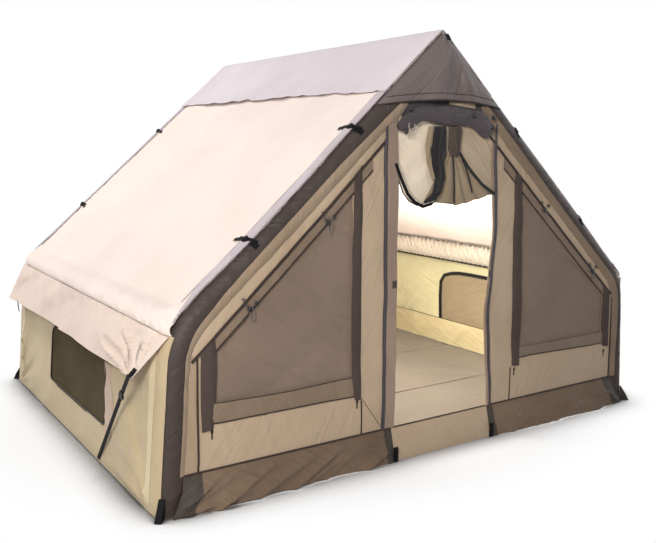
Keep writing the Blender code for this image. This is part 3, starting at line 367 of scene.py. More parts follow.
# Coated polyester: darker and a little shinier than the canvas, so its creases catch the light.
sleeve_polyester = woven("coated_polyester", "#453C38", "#3A322F", roughness=0.5, crumple=0.004, sheen=0.02,
                         drag=(42, 0.070, 0.0050), specular=0.28)
hood_polyester = woven("hood_polyester", "#6E6361", "#5E5453", roughness=0.45, crumple=0.004, sheen=0.05,
                       drag=(60, 0.090, 0.0060), specular=0.5)


def sleeve_slack(side, end, around, distance):
    """How far an arch sleeve stands out in its creases, at a share of a turn round the beam and a place up it."""
    lean = distance + 0.16 * np.sin(math.tau * around)
    slack = 0.0030 * crease(lean / 0.11, around * 5 - distance * 3, 3.0 + side + 2 * end)
    slack += 0.0022 * swell(lean / 0.22, around * 6 + distance * 2, 8.0 + side + 2 * end)
    slack += 0.0012 * crease(distance / 0.035 + 2.2 * around * 6, around * 6, 5.0 + side)
    return slack * np.where(np.cos(math.tau * around) > 0.72, 0.0, 1.0) * fade(distance, 0, 0.1) - 0.0004


def sleeve_lay(side, end):
    """How one half of an arch's sleeve lies: round the beam, and up from the ground to the apex seam."""
    def lay(around, up):
        turn = math.tau * around
        distance = up * ARCH_LENGTH
        radius = SLEEVE_RADIUS + sleeve_slack(side, end, around, distance)
        x, z = on_arch(distance, radius * np.cos(turn))
        z = np.where(up < 0.0001, 0.0, z)
        x = np.where(up > 0.9999, -CLEARANCE / 2, x)
        return side * x, end * (ARCH_Y + radius * np.sin(turn)), np.maximum(z, 0)
    return lay


def away_from_arch(points):
    """Which way is out of an arch's tube at each point."""
    middle = np.abs(points[:, 0])
    nearest = np.argmin(np.hypot(middle[:, None] + ARCH_X[None, :], points[:, 2:3] - ARCH_Z[None, :]), axis=1)
    return np.stack([points[:, 0] + np.sign(points[:, 0]) * ARCH_X[nearest],
                     points[:, 1] - np.sign(points[:, 1]) * ARCH_Y, points[:, 2] - ARCH_Z[nearest]], axis=1)


for end_name, end in ENDS:
    for side_name, side in SIDES:
        sheet(f"{end_name}_{side_name}_beam_sleeve", (math.tau * SLEEVE_RADIUS, ARCH_LENGTH), 0.011,
              sleeve_lay(side, end), away_from_arch, sleeve_polyester, slot="sleeve_fabric",
              rests_on=[end_name + "_arch_bladder"], cad=[f"{end_name}_{side_name}_sleeve"])


# Ridge and eave sleeves: pale canvas tubes round the three straight beams, seen from inside through the door.
# They are gathered on their thread, which leaves close slanting pleats all along.
ROOF_PEAK = HEIGHT - SLEEVE_DEPTH / math.cos(SLOPE)
BEAM_END = ARCH_Y - SLEEVE_RADIUS - CLEARANCE
EAVE_BEAM_RISE = 0.020
EAVE_X = KNEE_CORNER[0] + math.cos(SLOPE) * EAVE_BEAM_RISE - math.sin(SLOPE) * (SLEEVE_RADIUS - BEAM_RADIUS)
EAVE_Z = KNEE_CORNER[1] + math.sin(SLOPE) * EAVE_BEAM_RISE + math.cos(SLOPE) * (SLEEVE_RADIUS - BEAM_RADIUS)
RIDGE_Z = ROOF_PEAK - BEAM_RADIUS / math.cos(SLOPE)
beam_canvas = woven("gathered_beam_canvas", "#D9D0C4", "#CCC2B4", crumple=0.002, drag=(37, 0.024, 0.0110))


def beam_lay(x, z, puckers=0.046):
    def lay(around, along):
        turn = math.tau * around
        y = (2 * along - 1) * BEAM_END
        slant = y / puckers - around * 6.0
        pucker = crease(slant, around * 3, 5.0 + x) - 0.5
        pleat = 0.5 + 0.5 * np.sin(math.tau * slant + 2.2 * swell(y / 0.16, around * 3, 8.0 + x))
        hidden = fade(np.sin(turn) * np.sign(x) if x else np.cos(turn), 0.1, 0.5)
        radius = BEAM_RADIUS - 0.0004 + (0.0060 * np.maximum(pucker, 0) + 0.0105 * pleat ** 1.4) * (1 - hidden)
        return x + radius * np.sin(turn), y, z + radius * np.cos(turn)
    return lay


for name, x, z in (("ridge", 0.0, RIDGE_Z), ("left_eave", EAVE_X, EAVE_Z), ("right_eave", -EAVE_X, EAVE_Z)):
    def from_beam(points, x=x, z=z):
        return points * (1, 0, 1) - (x, 0, z)

    sheet(name + "_beam_sleeve", (math.tau * BEAM_RADIUS, 2 * BEAM_END), 0.0065, beam_lay(x, z), from_beam,
          beam_canvas, "gathered", "roof_canvas", rests_on=[name + "_bladder"], cad=[name + "_sleeve"])


# Roof: two sheets of pale cotton canvas, sewn at the ridge, drawn flat down the slopes and round the eave beams.
# Their front and rear hems turn down over the arch sleeves, with a row of stitching behind the turn.
ROOF_WRAP = SLEEVE_RADIUS + ROOF_DEPTH + 0.001
BEAM_WRAP = BEAM_RADIUS + ROOF_DEPTH
roof_turn = math.pi / 2 - SLOPE
tangent_x = EAVE_X - math.sin(SLOPE) * BEAM_WRAP
tangent_z = EAVE_Z + math.cos(SLOPE) * BEAM_WRAP
roof_peak_z = HEIGHT - ROOF_DEPTH / math.cos(SLOPE)
roof_straight = math.hypot(tangent_x, roof_peak_z - tangent_z)
ROOF_RUN = roof_straight + roof_turn * BEAM_WRAP
HEM_PLACES = (0.0, 0.10, 0.22, 0.36, 0.52, 0.90, 1.10, 1.30, SLOPE_LENGTH)
HEM_TURNS = (40, 21, 17, 24, 30, 27, 20, 17, 15)
roof_canvas = woven("cotton_roof_canvas", "#EFE3DC", "#E8DAD3", crumple=0.0012)


def roof_point(down, out):
    """A point of the left roof's line, a distance down from the ridge and outside the sheet's surface."""
    turn = math.pi / 2 + SLOPE + np.clip((down - roof_straight) / BEAM_WRAP, 0, roof_turn)
    share = np.clip(down / roof_straight, 0, 1)
    x = np.where(down < roof_straight, tangent_x * share, EAVE_X + BEAM_WRAP * np.cos(turn))
    z = np.where(down < roof_straight, roof_peak_z + (tangent_z - roof_peak_z) * share,
                 EAVE_Z + BEAM_WRAP * np.sin(turn))
    return x + out * np.cos(turn), z + out * np.sin(turn)


def hem_turn(down):
    """How far round the arch sleeve the hem reaches."""
    return np.radians(np.interp(SLOPE_LENGTH - down, HEM_PLACES, HEM_TURNS))


def over_sleeve(place, wrap):
    """Where a sheet that turns over the arch sleeves comes to lie along the tent, and how far round it turns."""
    over = np.clip((np.abs(place) - ARCH_Y) / wrap, 0, None)
    return np.sign(place) * np.where(over > 0, ARCH_Y + wrap * np.sin(over), np.abs(place)), over


def both_sleeves(side_name):
    """The two arch sleeves that a sheet of one side lies on."""
    return [f"{end_name}_{side_name}_sleeve" for end_name, end in ENDS]


def roof_lay(side):
    def lay(along, down_share):
        down = down_share * ROOF_RUN
        across = (2 * along - 1) * (ARCH_Y + ROOF_WRAP * hem_turn(down))
        y, over = over_sleeve(across, ROOF_WRAP)
        inner = fade(np.abs(across), ARCH_Y - 0.03, ARCH_Y - 0.16)
        near_hem = fade(np.abs(across), ARCH_Y - 0.10, ARCH_Y - 0.01)
        eave = fade(down, roof_straight - 0.12, roof_straight - 0.02)
        front = fade(across, 0.9, -1.1)
        out = 0.0050 * swell(down / 0.42, across / 0.50, 2.0 + side) * inner * (1 - eave)
        out += 0.0025 * swell((down + across) / 0.13, (down - across) / 0.40, 6.0 + side) * inner * (1 - eave)
        out -= 0.030 * fade(down, roof_straight - 0.60, roof_straight - 0.095) * inner * fade(
            down, roof_straight - 0.005, roof_straight - 0.090)
        slant = (across * 0.8 + 1.6 * down) / 0.045
        ruched = fade(down, roof_straight - 0.100, roof_straight - 0.03) * fade(down, ROOF_RUN, ROOF_RUN - 0.012)
        out += (0.0025 + 0.0120 * front) * crease(slant, down / 0.22, 4.0 + side) * ruched
        out += 0.0030 * crease(slant * 2.3, down / 0.10, 14.0 + side) * ruched
        held = fade(np.abs(across), ARCH_Y + 0.02, ARCH_Y - 0.05)
        share = np.clip((down - roof_straight + 0.10) / (ROOF_RUN - roof_straight + 0.10), 0, 1)
        out += 0.019 * np.sin(math.pi * share) * held
        out += 0.0022 * crease(down / 0.035 + across * 6, across / 0.08, 9.0 + side) * near_hem
        out += 0.0018 * swell(down / 0.07, across / 0.05, 12.0 + side) * near_hem
        x, z = roof_point(down, out - ROOF_WRAP * (1 - np.cos(over)))
        return side * x, y, z
    return lay


for side_name, side in SIDES:
    sheet(side_name + "_roof_sheet", (2 * (ARCH_Y + 0.036), ROOF_RUN), 0.0115, roof_lay(side), (-side * 0.67, 0, 0.75),
          roof_canvas, slot="roof_canvas", rests_on=both_sleeves(side_name), cad=[side_name + "_roof"])


# Ridge cap: a second, greyer panel folded over the ridge seam. Its lower edges are gathered, so they ripple and
# throw small shadows on the roof below.
CAP_DEPTH = 0.440
ridge_canvas = woven("grey_ridge_canvas", "#DAD2D9", "#CFC6CE", crumple=0.002, drag=(88, 0.060, 0.0022))


def cap_lay(along, across):
    wrap = SLEEVE_RADIUS + SLEEVE_DEPTH + 0.001
    place = (2 * along - 1) * (ARCH_Y + wrap * math.radians(17))
    side = np.sign(across - 0.5)
    down = np.abs(2 * across - 1) * CAP_DEPTH
    edge = fade(down, CAP_DEPTH - 0.10, CAP_DEPTH)
    down = down + 0.010 * swell(place / 0.10, side * 3, 1.0) * edge
    y, over = over_sleeve(place, wrap)
    out = 0.0045 * swell(down / 0.20, place / 0.30, 2.0) * fade(down, 0, 0.1)
    out += 0.0080 * crease(place / 0.085, down / 0.30, 3.0) * edge
    out += 0.0040 * crease(place / 0.22 + down * 2, down / 0.5, 5.0) * fade(down, 0.1, 0.35)
    out = np.maximum(out, 0) - wrap * (1 - np.cos(over))
    round_off = 0.012
    height = HEIGHT - (np.sqrt(down ** 2 + round_off ** 2) - round_off) * math.sin(SLOPE)
    x = side * (down * math.cos(SLOPE) + out * math.sin(SLOPE) * np.minimum(down / 0.03, 1))
    return x, y, height + out * math.cos(SLOPE)


sheet("ridge_cap_panel", (2 * (ARCH_Y + 0.020), 2 * CAP_DEPTH), 0.0115, cap_lay, (0, 0, 1), ridge_canvas, "hung",
      "ridge_canvas", rests_on=["left_roof", "right_roof"], cad=["ridge_cap"])


# Vent hood: a triangle of the sleeves' polyester over the top of the front arch. It lies round the sleeves along
# both slopes, hangs free to an arched hem, and its slack falls in long creases from the apex.
HOOD_DROP, HOOD_ARCH, HOOD_HALF, HOOD_TUCK = 0.345, 0.030, 0.378, 0.003
FRONT_SLEEVES = ["front_left_sleeve", "front_right_sleeve"]


def hood_lay(across, up):
    place = 2 * across - 1
    hem = ROOF_PEAK - HOOD_DROP + HOOD_ARCH * (1 - place ** 2)
    top = ROOF_PEAK - HOOD_TUCK / math.cos(SLOPE)
    z = hem + (top - 0.012 - hem) * up
    x = place * np.minimum((top - z) / math.tan(SLOPE), HOOD_HALF)
    deep = (ROOF_PEAK - np.abs(x) * math.tan(SLOPE) - z) * math.cos(SLOPE)
    wrap = SLEEVE_RADIUS + 0.0060
    round_it = wrap - np.clip(deep, 0, wrap)
    y = -(ARCH_Y + np.sqrt(np.maximum(wrap ** 2 - round_it ** 2, 0)))
    free = fade(deep, 0.02, 0.10)
    bearing = np.arctan2(x, ROOF_PEAK + 0.05 - z)
    out = 0.026 * np.exp(-((bearing + 0.16) / 0.20) ** 2) + 0.016 * np.exp(-((bearing - 0.36) / 0.10) ** 2)
    out = out + 0.007 * crease(bearing / 0.22, z / 0.5, 3.0) * fade(place, -0.2, 0.5)
    out = (out + 0.006 * swell(x / 0.09, z / 0.07, 4.0)) * free
    return x, y - out, z


sheet("vent_hood", (2 * HOOD_HALF, HOOD_DROP + HOOD_ARCH), 0.007, hood_lay, (0, -1, 0), hood_polyester, "hung",
      "sleeve_fabric", rests_on=FRONT_SLEEVES, cad=["front_hood"])


# Side walls: beige canvas outside the legs, wrapped half round them at both ends, with facing strips at the ends
# and by the window's zip. Each window has a black bound edge; folds fan out from the panel's two lower corners.
WALL_DEPTH = SLEEVE_RADIUS + CLEARANCE + CANVAS
WALL_WRAP = math.radians(45)
WALL_REACH = ARCH_Y + WALL_DEPTH * WALL_WRAP
WINDOW_FRONT, WINDOW_REAR = -0.495, 0.405
WINDOW_SILL, WINDOW_HEAD = 0.185, 0.492
WINDOW_TOP_CORNER, WINDOW_LOW_CORNER = 0.080, 0.025
CUT_REACH = 0.03
side_canvas = woven("side_wall_canvas", "#C4B494", "#B4A384", crumple=0.0022, drag=(28, 0.060, 0.0026))


def eave_meeting():
    """How far up the arch a side wall goes before it meets the eave beam's sleeve."""
    x, z = on_arch(ARCH_DISTANCE, WALL_DEPTH)
    clear = np.hypot(x - EAVE_X, z - EAVE_Z) > BEAM_RADIUS + 2 * CLEARANCE
    return ARCH_DISTANCE[np.argmax(~clear)]


WALL_RUN = eave_meeting()


def side_fold(side, across, distance):
    """How far a side wall stands out in its folds, at a place along it and a distance up from the ground."""
    inner = fade(np.abs(across), ARCH_Y, ARCH_Y - 0.12)
    edge = inner * fade(distance, 0.0, 0.06)
    front = np.hypot(across + ARCH_Y, distance)
    bearing = np.arctan2(distance, across + ARCH_Y)
    rear_bearing = np.arctan2(distance, ARCH_Y - across)
    fan = crease(bearing / 0.15, front / 0.9, 3.0 + side) * fade(front, 0.85, 0.15)
    fan = fan + crease(rear_bearing / 0.17, front / 3, 6.0 + side) * fade(
        np.hypot(ARCH_Y - across, distance), 0.65, 0.1)
    out = 0.024 * fan * edge
    out += 0.0090 * swell((across + distance) / 0.16, (across - distance) / 0.35, 4.0 + side) * edge
    out += 0.0015 * crease(distance / 0.05, across / 0.10, 8.0 + side) * fade(np.abs(across), 0.9, 1.05)
    return out * (1 - fade(distance, WALL_RUN - 0.12, WALL_RUN))


def wall_lay(side):
    def lay(along, up):
        distance = up * WALL_RUN
        across = (2 * along - 1) * WALL_REACH
        y, over = over_sleeve(across, WALL_DEPTH)
        x, z = on_arch(distance, WALL_DEPTH * np.cos(over) + side_fold(side, across, distance))
        return side * x, y, np.maximum(z, 0)
    return lay


def rounded(left, right, low, high, top_corner, low_corner, steps=6):
    """A rectangle's outline with round corners."""
    corners = ((right - top_corner, high - top_corner, top_corner), (left + top_corner, high - top_corner, top_corner),
               (left + low_corner, low + low_corner, low_corner), (right - low_corner, low + low_corner, low_corner))
    points = []
    for quarter, (x, z, radius) in enumerate(corners):
        for i in range(steps + 1):
            turn = math.pi / 2 * (quarter + i / steps)
            points.append((x + radius * math.cos(turn), z + radius * math.sin(turn)))
    return points


def cut_through(piece, near, far):
    """Cuts a window through a sheet with a prism between two outlines of points."""
    count = len(near)
    mesh = bpy.data.meshes.new("cutter")
    sides = [(i, (i + 1) % count, count + (i + 1) % count, count + i) for i in range(count)]
    mesh.from_pydata(list(near) + list(far), [], [tuple(range(count))[::-1], tuple(range(count, 2 * count))] + sides)
    cutter = bpy.data.objects.new("cutter", mesh)
    bpy.context.collection.objects.link(cutter)
    bpy.ops.object.select_all(action="DESELECT")
    cutter.select_set(True)
    bpy.context.view_layer.objects.active = cutter
    bpy.ops.object.mode_set(mode="EDIT")
    bpy.ops.mesh.select_all(action="SELECT")
    bpy.ops.mesh.normals_make_consistent(inside=False)
    bpy.ops.object.mode_set(mode="OBJECT")
    hole = piece.modifiers.new("window", "BOOLEAN")
    hole.operation = "DIFFERENCE"
    hole.solver = "EXACT"
    hole.object = cutter
    piece.select_set(True)
    apply_all(piece)
    bpy.data.objects.remove(cutter, do_unlink=True)


def wall_face(side, y, z, out):
    """A point of a side wall's flat run at a height, a distance outside its face."""
    leg_x = ARCH_X[0] + z / math.tan(LEG_ANGLE)
    depth = WALL_DEPTH + out
    return side * (leg_x - depth * math.sin(LEG_ANGLE)), y, z + depth * math.cos(LEG_ANGLE)


def tube(name, points, radius, finish, closed=False, sides=2):
    """A thin round run along a route, with its ends closed."""
    curve = add(name, bpy.ops.curve.primitive_bezier_curve_add).data
    curve.splines.clear()
    run = curve.splines.new("POLY")
    run.points.add(len(points) - 1)
    for spot, place in zip(run.points, points):
        spot.co = (*place, 1)
    run.use_cyclic_u = closed
    curve.dimensions = "3D"
    curve.bevel_depth = radius
    curve.bevel_resolution = sides
    curve.use_fill_caps = True
    bpy.ops.object.convert(target="MESH")
    made = bpy.context.object
    bpy.ops.object.shade_smooth_by_angle(angle=SMOOTH_BELOW)
    made.data.materials.append(finish)
    return made


def trim(piece, body="tent"):
    """A small sewn-on piece that rides with what it is sewn to."""
    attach(piece, body)


def piping(name, points, radius, finish, closed=False):
    """Piping, cord or a round edge, sewn on."""
    trim(tube(name, points, radius, finish, closed))


strip_canvas = woven("side_zip_facing", "#C4AE9D", "#B59F8E", crumple=0.0015)
edge_canvas = woven("side_edge_facing", "#D6C9AA", "#C8BA9A", crumple=0.0015)
bound_edge = woven("black_binding_tape", "#221C1C", "#1A1516", roughness=0.7, crumple=0.001)
window_area = (WINDOW_REAR - WINDOW_FRONT) * (WINDOW_HEAD - WINDOW_SILL)
window_edge = rounded(WINDOW_FRONT, WINDOW_REAR, WINDOW_SILL, WINDOW_HEAD, WINDOW_TOP_CORNER, WINDOW_LOW_CORNER)
for side_name, side in SIDES:
    flat = (2 * WALL_REACH, WALL_RUN)
    wall = cloth(side_name + "_wall_panel", flat, 0.011, wall_lay(side), (-side, 0, 0), side_canvas)
    cut_through(wall, *([wall_face(side, y, z, out) for y, z in window_edge] for out in (-CUT_REACH, CUT_REACH)))
    wall["area"] -= window_area
    declare(wall, flat, "stretched", "wall_canvas", rests_on=both_sleeves(side_name), cad=[side_name + "_wall"])
    piping(side_name + "_window_binding",
           [wall_face(side, y, z, 0.0015 + float(side_fold(side, y, z))) for y, z in window_edge], 0.0034,
           bound_edge, closed=True)

    def strip_lay(across, up, side=side):
        y = -0.597 + 0.100 * across + 0.030 * fade(up, 0.55, 1.0)
        z = 0.150 + 0.330 * up
        return wall_face(side, y, z, 0.0022 + side_fold(side, y, z) + 0.003 * swell(up * 5, across, 3.0) * across)

    sheet(side_name + "_window_zip_strip", (0.101, 0.332), 0.009, strip_lay, (-side, 0, 0), strip_canvas)
    for number, (first, width, low, high) in enumerate(((-1.078, 0.044, 0.030, 0.655), (1.010, 0.040, 0.030, 0.640))):
        def edge_lay(across, up, side=side, first=first, width=width, low=low, high=high):
            y, z = first + width * across, low + (high - low) * up
            return wall_face(side, y, z, 0.0020 + side_fold(side, y, z))

        sheet(f"{side_name}_wall_edge_strip_{number}", (width + 0.001, high - low + 0.002), 0.009, edge_lay,
              (-side, 0, 0), edge_canvas)


# Window mesh: fine dark netting behind the openings, hung a little slack, with light and dark folds. The side
# windows' netting is darker still: partly its own colour, partly painted shade of the dim inside behind it.
netting = woven("insect_netting", "#8C7B6D", "#7D6D60", thread=0.0040, weave=0.0004, roughness=0.8, crumple=0.003,
                drag=(-32, 0.14, 0.0085))
# Painted shade: the side windows' netting is darker than the front's, for the dim inside seen through it.
side_netting_painted_shade = woven("side_insect_netting_painted_shade", "#5C523F", "#453D2D", thread=0.0040, weave=0.0004, roughness=0.9,
                     crumple=0.003, sheen=0.0, specular=0.06)
LAP = 0.015
NET_WIDE, NET_TALL = WINDOW_REAR - WINDOW_FRONT + 2 * LAP, WINDOW_HEAD - WINDOW_SILL + 2 * LAP
NET_THREAD, NET_GAP = 0.0008, 0.0012


def margin(share, width):
    """Rises from 0 at both ends of a share to 1 at a width inside them."""
    return fade(np.minimum(share, 1 - share), 0, width)


for side_name, side in SIDES:
    def side_net_lay(along, up, side=side):
        y = WINDOW_FRONT - LAP + NET_WIDE * along
        z = WINDOW_SILL - LAP + NET_TALL * up
        edge = margin(along, 0.08) * margin(up, 0.15)
        deep = CANVAS + NET_GAP + edge * (0.004 + 0.005 * swell((y + z) / 0.12, (y - z) / 0.3, 5.0))
        return wall_face(side, y, z, -deep)

    sheet(side_name + "_window_net", (NET_WIDE, NET_TALL), 0.014, side_net_lay, (-side, 0, 0), side_netting_painted_shade,
          slot="window_mesh", thickness=NET_THREAD, rests_on=[side_name + "_wall"], cad=[side_name + "_window"])


# Awning flaps: the roof's own canvas carried on below the eave beam as a loose flap, hinged on its sewn bead and
# held out by a strap at the front corner, from which its folds run up.
BEAD = 0.003
HINGE_X = EAVE_X - BEAM_RADIUS - CLEARANCE - BEAD
HINGE_Z = EAVE_Z - CLEARANCE - BEAD
ROOT_Y, TIP_Y = ARCH_Y + 0.045, ARCH_Y - 0.045
LEAN = 1 / math.tan(LEG_ANGLE)
MID_DROP, CORNER_DROP = 0.160, 0.158
MID_REACH, CORNER_REACH = 0.0754 + MID_DROP * LEAN, 0.1066 + CORNER_DROP * LEAN
# Painted shade: the awning's canvas is a darker copy of the roof's canvas.
awning_painted_shade = woven("cotton_awning_painted_shade", "#E0D0C5", "#D5C4B9", crumple=0.002, drag=(68, 0.055, 0.0050))


def awning_lay(side):
    def lay(along, down):
        share = 2 * along - 1
        bend = share ** 2
        hang = 0.010 + 0.020 * fade(share, -1.0, -0.4)
        reach = MID_REACH + (CORNER_REACH - MID_REACH) * bend
        drop = MID_DROP + hang + (CORNER_DROP - MID_DROP) * bend
        y = share * (ROOT_Y + (TIP_Y - ROOT_Y) * down)
        length = np.hypot(reach, drop)
        free = fade(down, 0.02, 0.5)
        corner = np.hypot((y + TIP_Y), (1 - down) * 0.2)
        bearing = np.arctan2((1 - down) * 0.2 + 0.01, y + TIP_Y + 0.02)
        out = 0.044 * (crease(bearing / 0.20, corner / 0.9, 2.0) - 0.35) * fade(corner, 1.1, 0.25) * free
        out += 0.034 * swell(y / 0.16 - down * 1.1, down / 1.5, 5.0 + side) * free
        out += 0.012 * crease(y / 0.09 + down * 2, down / 1.2, 7.0) * fade(down, 0.9, 0.0)
        out = np.maximum(out, -0.007) * margin(along, 0.045)
        x = HINGE_X - reach * down - out * drop / length
        z = HINGE_Z - drop * down + out * reach / length
        return side * x, y, z
    return lay


for side_name, side in SIDES:
    sheet(side_name + "_awning_flap", (2 * ROOT_Y, 0.240), 0.008, awning_lay(side), (-side, 0, 0.5), awning_painted_shade,
          "hung", "roof_canvas", body=side_name + "_awning", cad=[side_name + "_awning"])


# Tie-down straps: flat woven webbing from each front awning corner to the foot of the wall, with a ladder-lock
# buckle and its ring. The corner is bound in a tab of the same webbing, and a shorter tab hangs at the rear one.
black_webbing = woven("woven_black_webbing", "#141317", "#0E0D11", thread=0.0030, weave=0.0003, roughness=0.75,
                      crumple=0.0006, sheen=0.0, specular=0.15)
TIP_X, TIP_Z = HINGE_X - CORNER_REACH, HINGE_Z - CORNER_DROP
STRAP_TOP = Vector((TIP_X - 0.0012, -TIP_Y + 0.025, TIP_Z - 0.0016))
STRAP_FOOT = Vector((-1.45705, -0.442, 0.016))
STRAP_RUN = (STRAP_FOOT - STRAP_TOP).normalized()
WEBBING = 0.0014


def hard(name, colour, roughness, grain=0.0002, metallic=0.0):
    """Moulded plastic or enamelled metal: an even colour with a fine moulded grain."""
    made = bpy.data.materials.new(name)
    tree = clear_tree(made)
    spot = node(tree, "ShaderNodeTexCoord").outputs["Object"]
    speck = node(tree, "ShaderNodeTexNoise", {"Vector": spot, "Scale": 900.0, "Detail": 2.0})
    cloud = node(tree, "ShaderNodeTexNoise", {"Vector": spot, "Scale": 60.0})
    rough = node(tree, "ShaderNodeMapRange", {"Value": cloud.outputs["Fac"], "To Min": roughness - 0.08,
                                              "To Max": roughness + 0.08})
    shader = node(tree, "ShaderNodeBsdfPrincipled", {"Base Color": linear(colour), "Metallic": metallic,
                                                     "Roughness": rough.outputs[0],
                                                     "Normal": relief(tree, speck.outputs["Fac"], grain)})
    node(tree, "ShaderNodeOutputMaterial", {"Surface": shader.outputs[0]})
    return made


black_plastic = hard("moulded_black_acetal", "#151517", 0.42)


def finish_node(name, finish):
    """Gives a carried-over solid its material."""
    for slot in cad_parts[name].material_slots:
        slot.material = finish


def follow(line, share, places=None):
    """Points at shares of the way along a line, whose own points stand at even places or at those given."""
    line = np.array(line, float)
    places = np.linspace(0, 1, len(line)) if places is None else places
    return np.array([np.interp(share, places, axis) for axis in line.T])


def ribbon(name, route, width, facing, finish=black_webbing, body="tent"):
    """Flat webbing sewn on along a route of points, its face turned towards one direction."""
    route = [Vector(point) for point in route]
    facing = Vector(facing)
    lengths = np.cumsum([0.0] + [(there - here).length for here, there in zip(route, route[1:])])
    runs = [(route[min(i + 1, len(route) - 1)] - route[max(i - 1, 0)]).normalized() for i in range(len(route))]
    sides = [tuple(run.cross(facing).normalized() * width / 2) for run in runs]
    places = lengths / lengths[-1]

    def lay(along, across):
        centre = follow([tuple(point) for point in route], along, places)
        return centre + follow(sides, along, places) * (2 * across - 1)

    made = cloth(name, (float(lengths[-1]), width), 0.006, lay, tuple(facing), finish, thickness=WEBBING)
    del made["area"]
    trim(made, body=body)


for side_name, side in SIDES:
    finish_node(side_name + "_strap", black_webbing)
    finish_node(side_name + "_buckle", black_plastic)
    centre = STRAP_TOP + STRAP_RUN * 0.160 + Vector((-0.006, 0, -0.004))
    ring = tube(side_name + "_buckle_ring",
                [((centre.x - 0.003 * math.cos(a)) * side, centre.y + 0.012 * math.cos(a),
                  centre.z + 0.012 * math.sin(a)) for a in np.linspace(0, math.tau, 20, endpoint=False)],
                0.0020, black_plastic, closed=True, sides=3)
    trim(ring, side_name + "_buckle")
    for place, facing, route in (
            ("corner", (-0.6 * side, -0.8, 0), ((0.020, -TIP_Y - 0.002, 0.026), (0.004, -TIP_Y + 0.004, 0.006),
                                                (-0.002, -TIP_Y + 0.014, -0.008))),
            ("rear", (-side, 0, 0.2), ((0.012, 0.880, -0.022), (0.012, 0.880, -0.050), (0.016, 0.882, -0.086)))):
        ribbon(f"{side_name}_awning_{place}_tab", [((TIP_X + x) * side, y, TIP_Z + z) for x, y, z in route], 0.022,
               facing, body=side_name + "_awning")


# Roof edge ties and ground feet: short lengths of the same webbing. Each tie is knotted over the sleeve, with its
# two cut ends standing off.
EAVE_CORNER = Vector((-EAVE_WIDTH / 2, 0, EAVE_HEIGHT))
UP_SLOPE = Vector((math.cos(SLOPE), 0, math.sin(SLOPE)))
SLOPE_OUT = Vector((-math.sin(SLOPE), 0, math.cos(SLOPE)))


def bead(name, place, size, finish=black_plastic):
    """A small rounded form: a plastic bead, or the middle of a knot."""
    made = add(name, bpy.ops.mesh.primitive_uv_sphere_add, segments=16, ring_count=10, radius=1, location=place)
    made.scale = size
    bpy.ops.object.transform_apply(location=True, rotation=True, scale=True)
    bpy.ops.object.shade_smooth()
    made.data.materials.append(finish)
    trim(made)


for side_name, side in SIDES:
    for end_name, end in ENDS:
        for level, place in (("lower", 0.505), ("upper", 1.200)):
            name = f"{end_name}_{side_name}_{level}_tie"
            finish_node(name, black_webbing)
            base = EAVE_CORNER - SLOPE_OUT * (SLEEVE_DEPTH + SLEEVE_RADIUS) + UP_SLOPE * place
            knot = []
            for i in range(14):
                a = math.tau * i / 14
                turn = math.radians(2 + 15 * math.sin(a))
                lift = SLEEVE_RADIUS + 0.0105 + 0.003 * math.sin(2 * a)
                spot = base + SLOPE_OUT * lift * math.cos(turn) + UP_SLOPE * 0.011 * math.cos(a)
                knot.append((side * spot.x, end * (ARCH_Y + lift * math.sin(turn)), spot.z))
            piping(name + "_knot", knot, 0.0055, black_webbing, closed=True)
            spot = base + SLOPE_OUT * (SLEEVE_RADIUS + 0.0090)
            bead(name + "_knot_middle", (side * spot.x, end * (ARCH_Y + 0.002), spot.z), (0.010, 0.013, 0.006),
                 black_webbing)
            for tail, (start, stop) in enumerate(((-14, -46), (14, 52))):
                ends = []
                for i in range(5):
                    turn = math.radians(start + (stop - start) * i / 4)
                    lift = SLEEVE_RADIUS + 0.0080 + 0.004 * math.sin(math.pi * i / 4)
                    rise, y = (1, math.tan(turn)) if turn < 0 else (math.cos(turn), math.sin(turn))
                    spot = base + SLOPE_OUT * lift * rise + UP_SLOPE * (0.004 + 0.010 * i / 4) * (1 if tail else -1)
                    ends.append((side * spot.x, end * (ARCH_Y + lift * y), spot.z))
                ribbon(f"{name}_end_{tail}", ends, 0.016, (-side * 0.6, end * 0.3, 0.7))
        if (end_name, side_name) != ("front", "right"):
            finish_node(f"{end_name}_{side_name}_foot", black_webbing)
    finish_node(f"door_{side_name}_foot", black_webbing)


# Front gable: two canvas panels beside the door and one above it, sewn to the inside of the arch, with a strip
# over the inner side of each arch sleeve, coloured darker than the panels as painted shade. The door's edges are
# loose, so they wander a little, and slanting folds run from the arch towards the ground.
WALL_Y = ARCH_Y + 0.050
THRESHOLD = 0.155
WALL_EDGE = math.sqrt(SLEEVE_RADIUS ** 2 - (WALL_Y - CANVAS - ARCH_Y) ** 2) + CLEARANCE
SILL, WINDOW_INNER, WINDOW_DROP = 0.420, 0.530, 0.262
GABLE_SIDES = (("left", -1), ("right", 1))
FRONT = (0, -1, 0)
front_canvas = woven("front_wall_canvas", "#C2AF97", "#B6A28A", crumple=0.0018, drag=(62, 0.070, 0.0034))
# The brown canvas is the window bands' own colour; on the right-hand facings it is painted shade.
brown_band_and_shade_canvas = woven("brown_band_canvas_and_painted_shade", "#8F7E6C", "#806F5F", crumple=0.0018, drag=(50, 0.030, 0.0018))
inner_x, inner_z = on_arch(ARCH_DISTANCE, -WALL_EDGE)
DOOR_EDGE = {
    -1: ((0.15, 0.39, 0.72, 1.05, 1.23, 1.39, 1.61), (-0.269, -0.266, -0.265, -0.271, -0.273, -0.272, -0.283)),
    1: ((0.15, 0.19, 0.45, 0.65, 0.86, 1.03, 1.24, 1.36, 1.61),
        (0.338, 0.336, 0.309, 0.296, 0.315, 0.338, 0.318, 0.309, 0.302)),
}


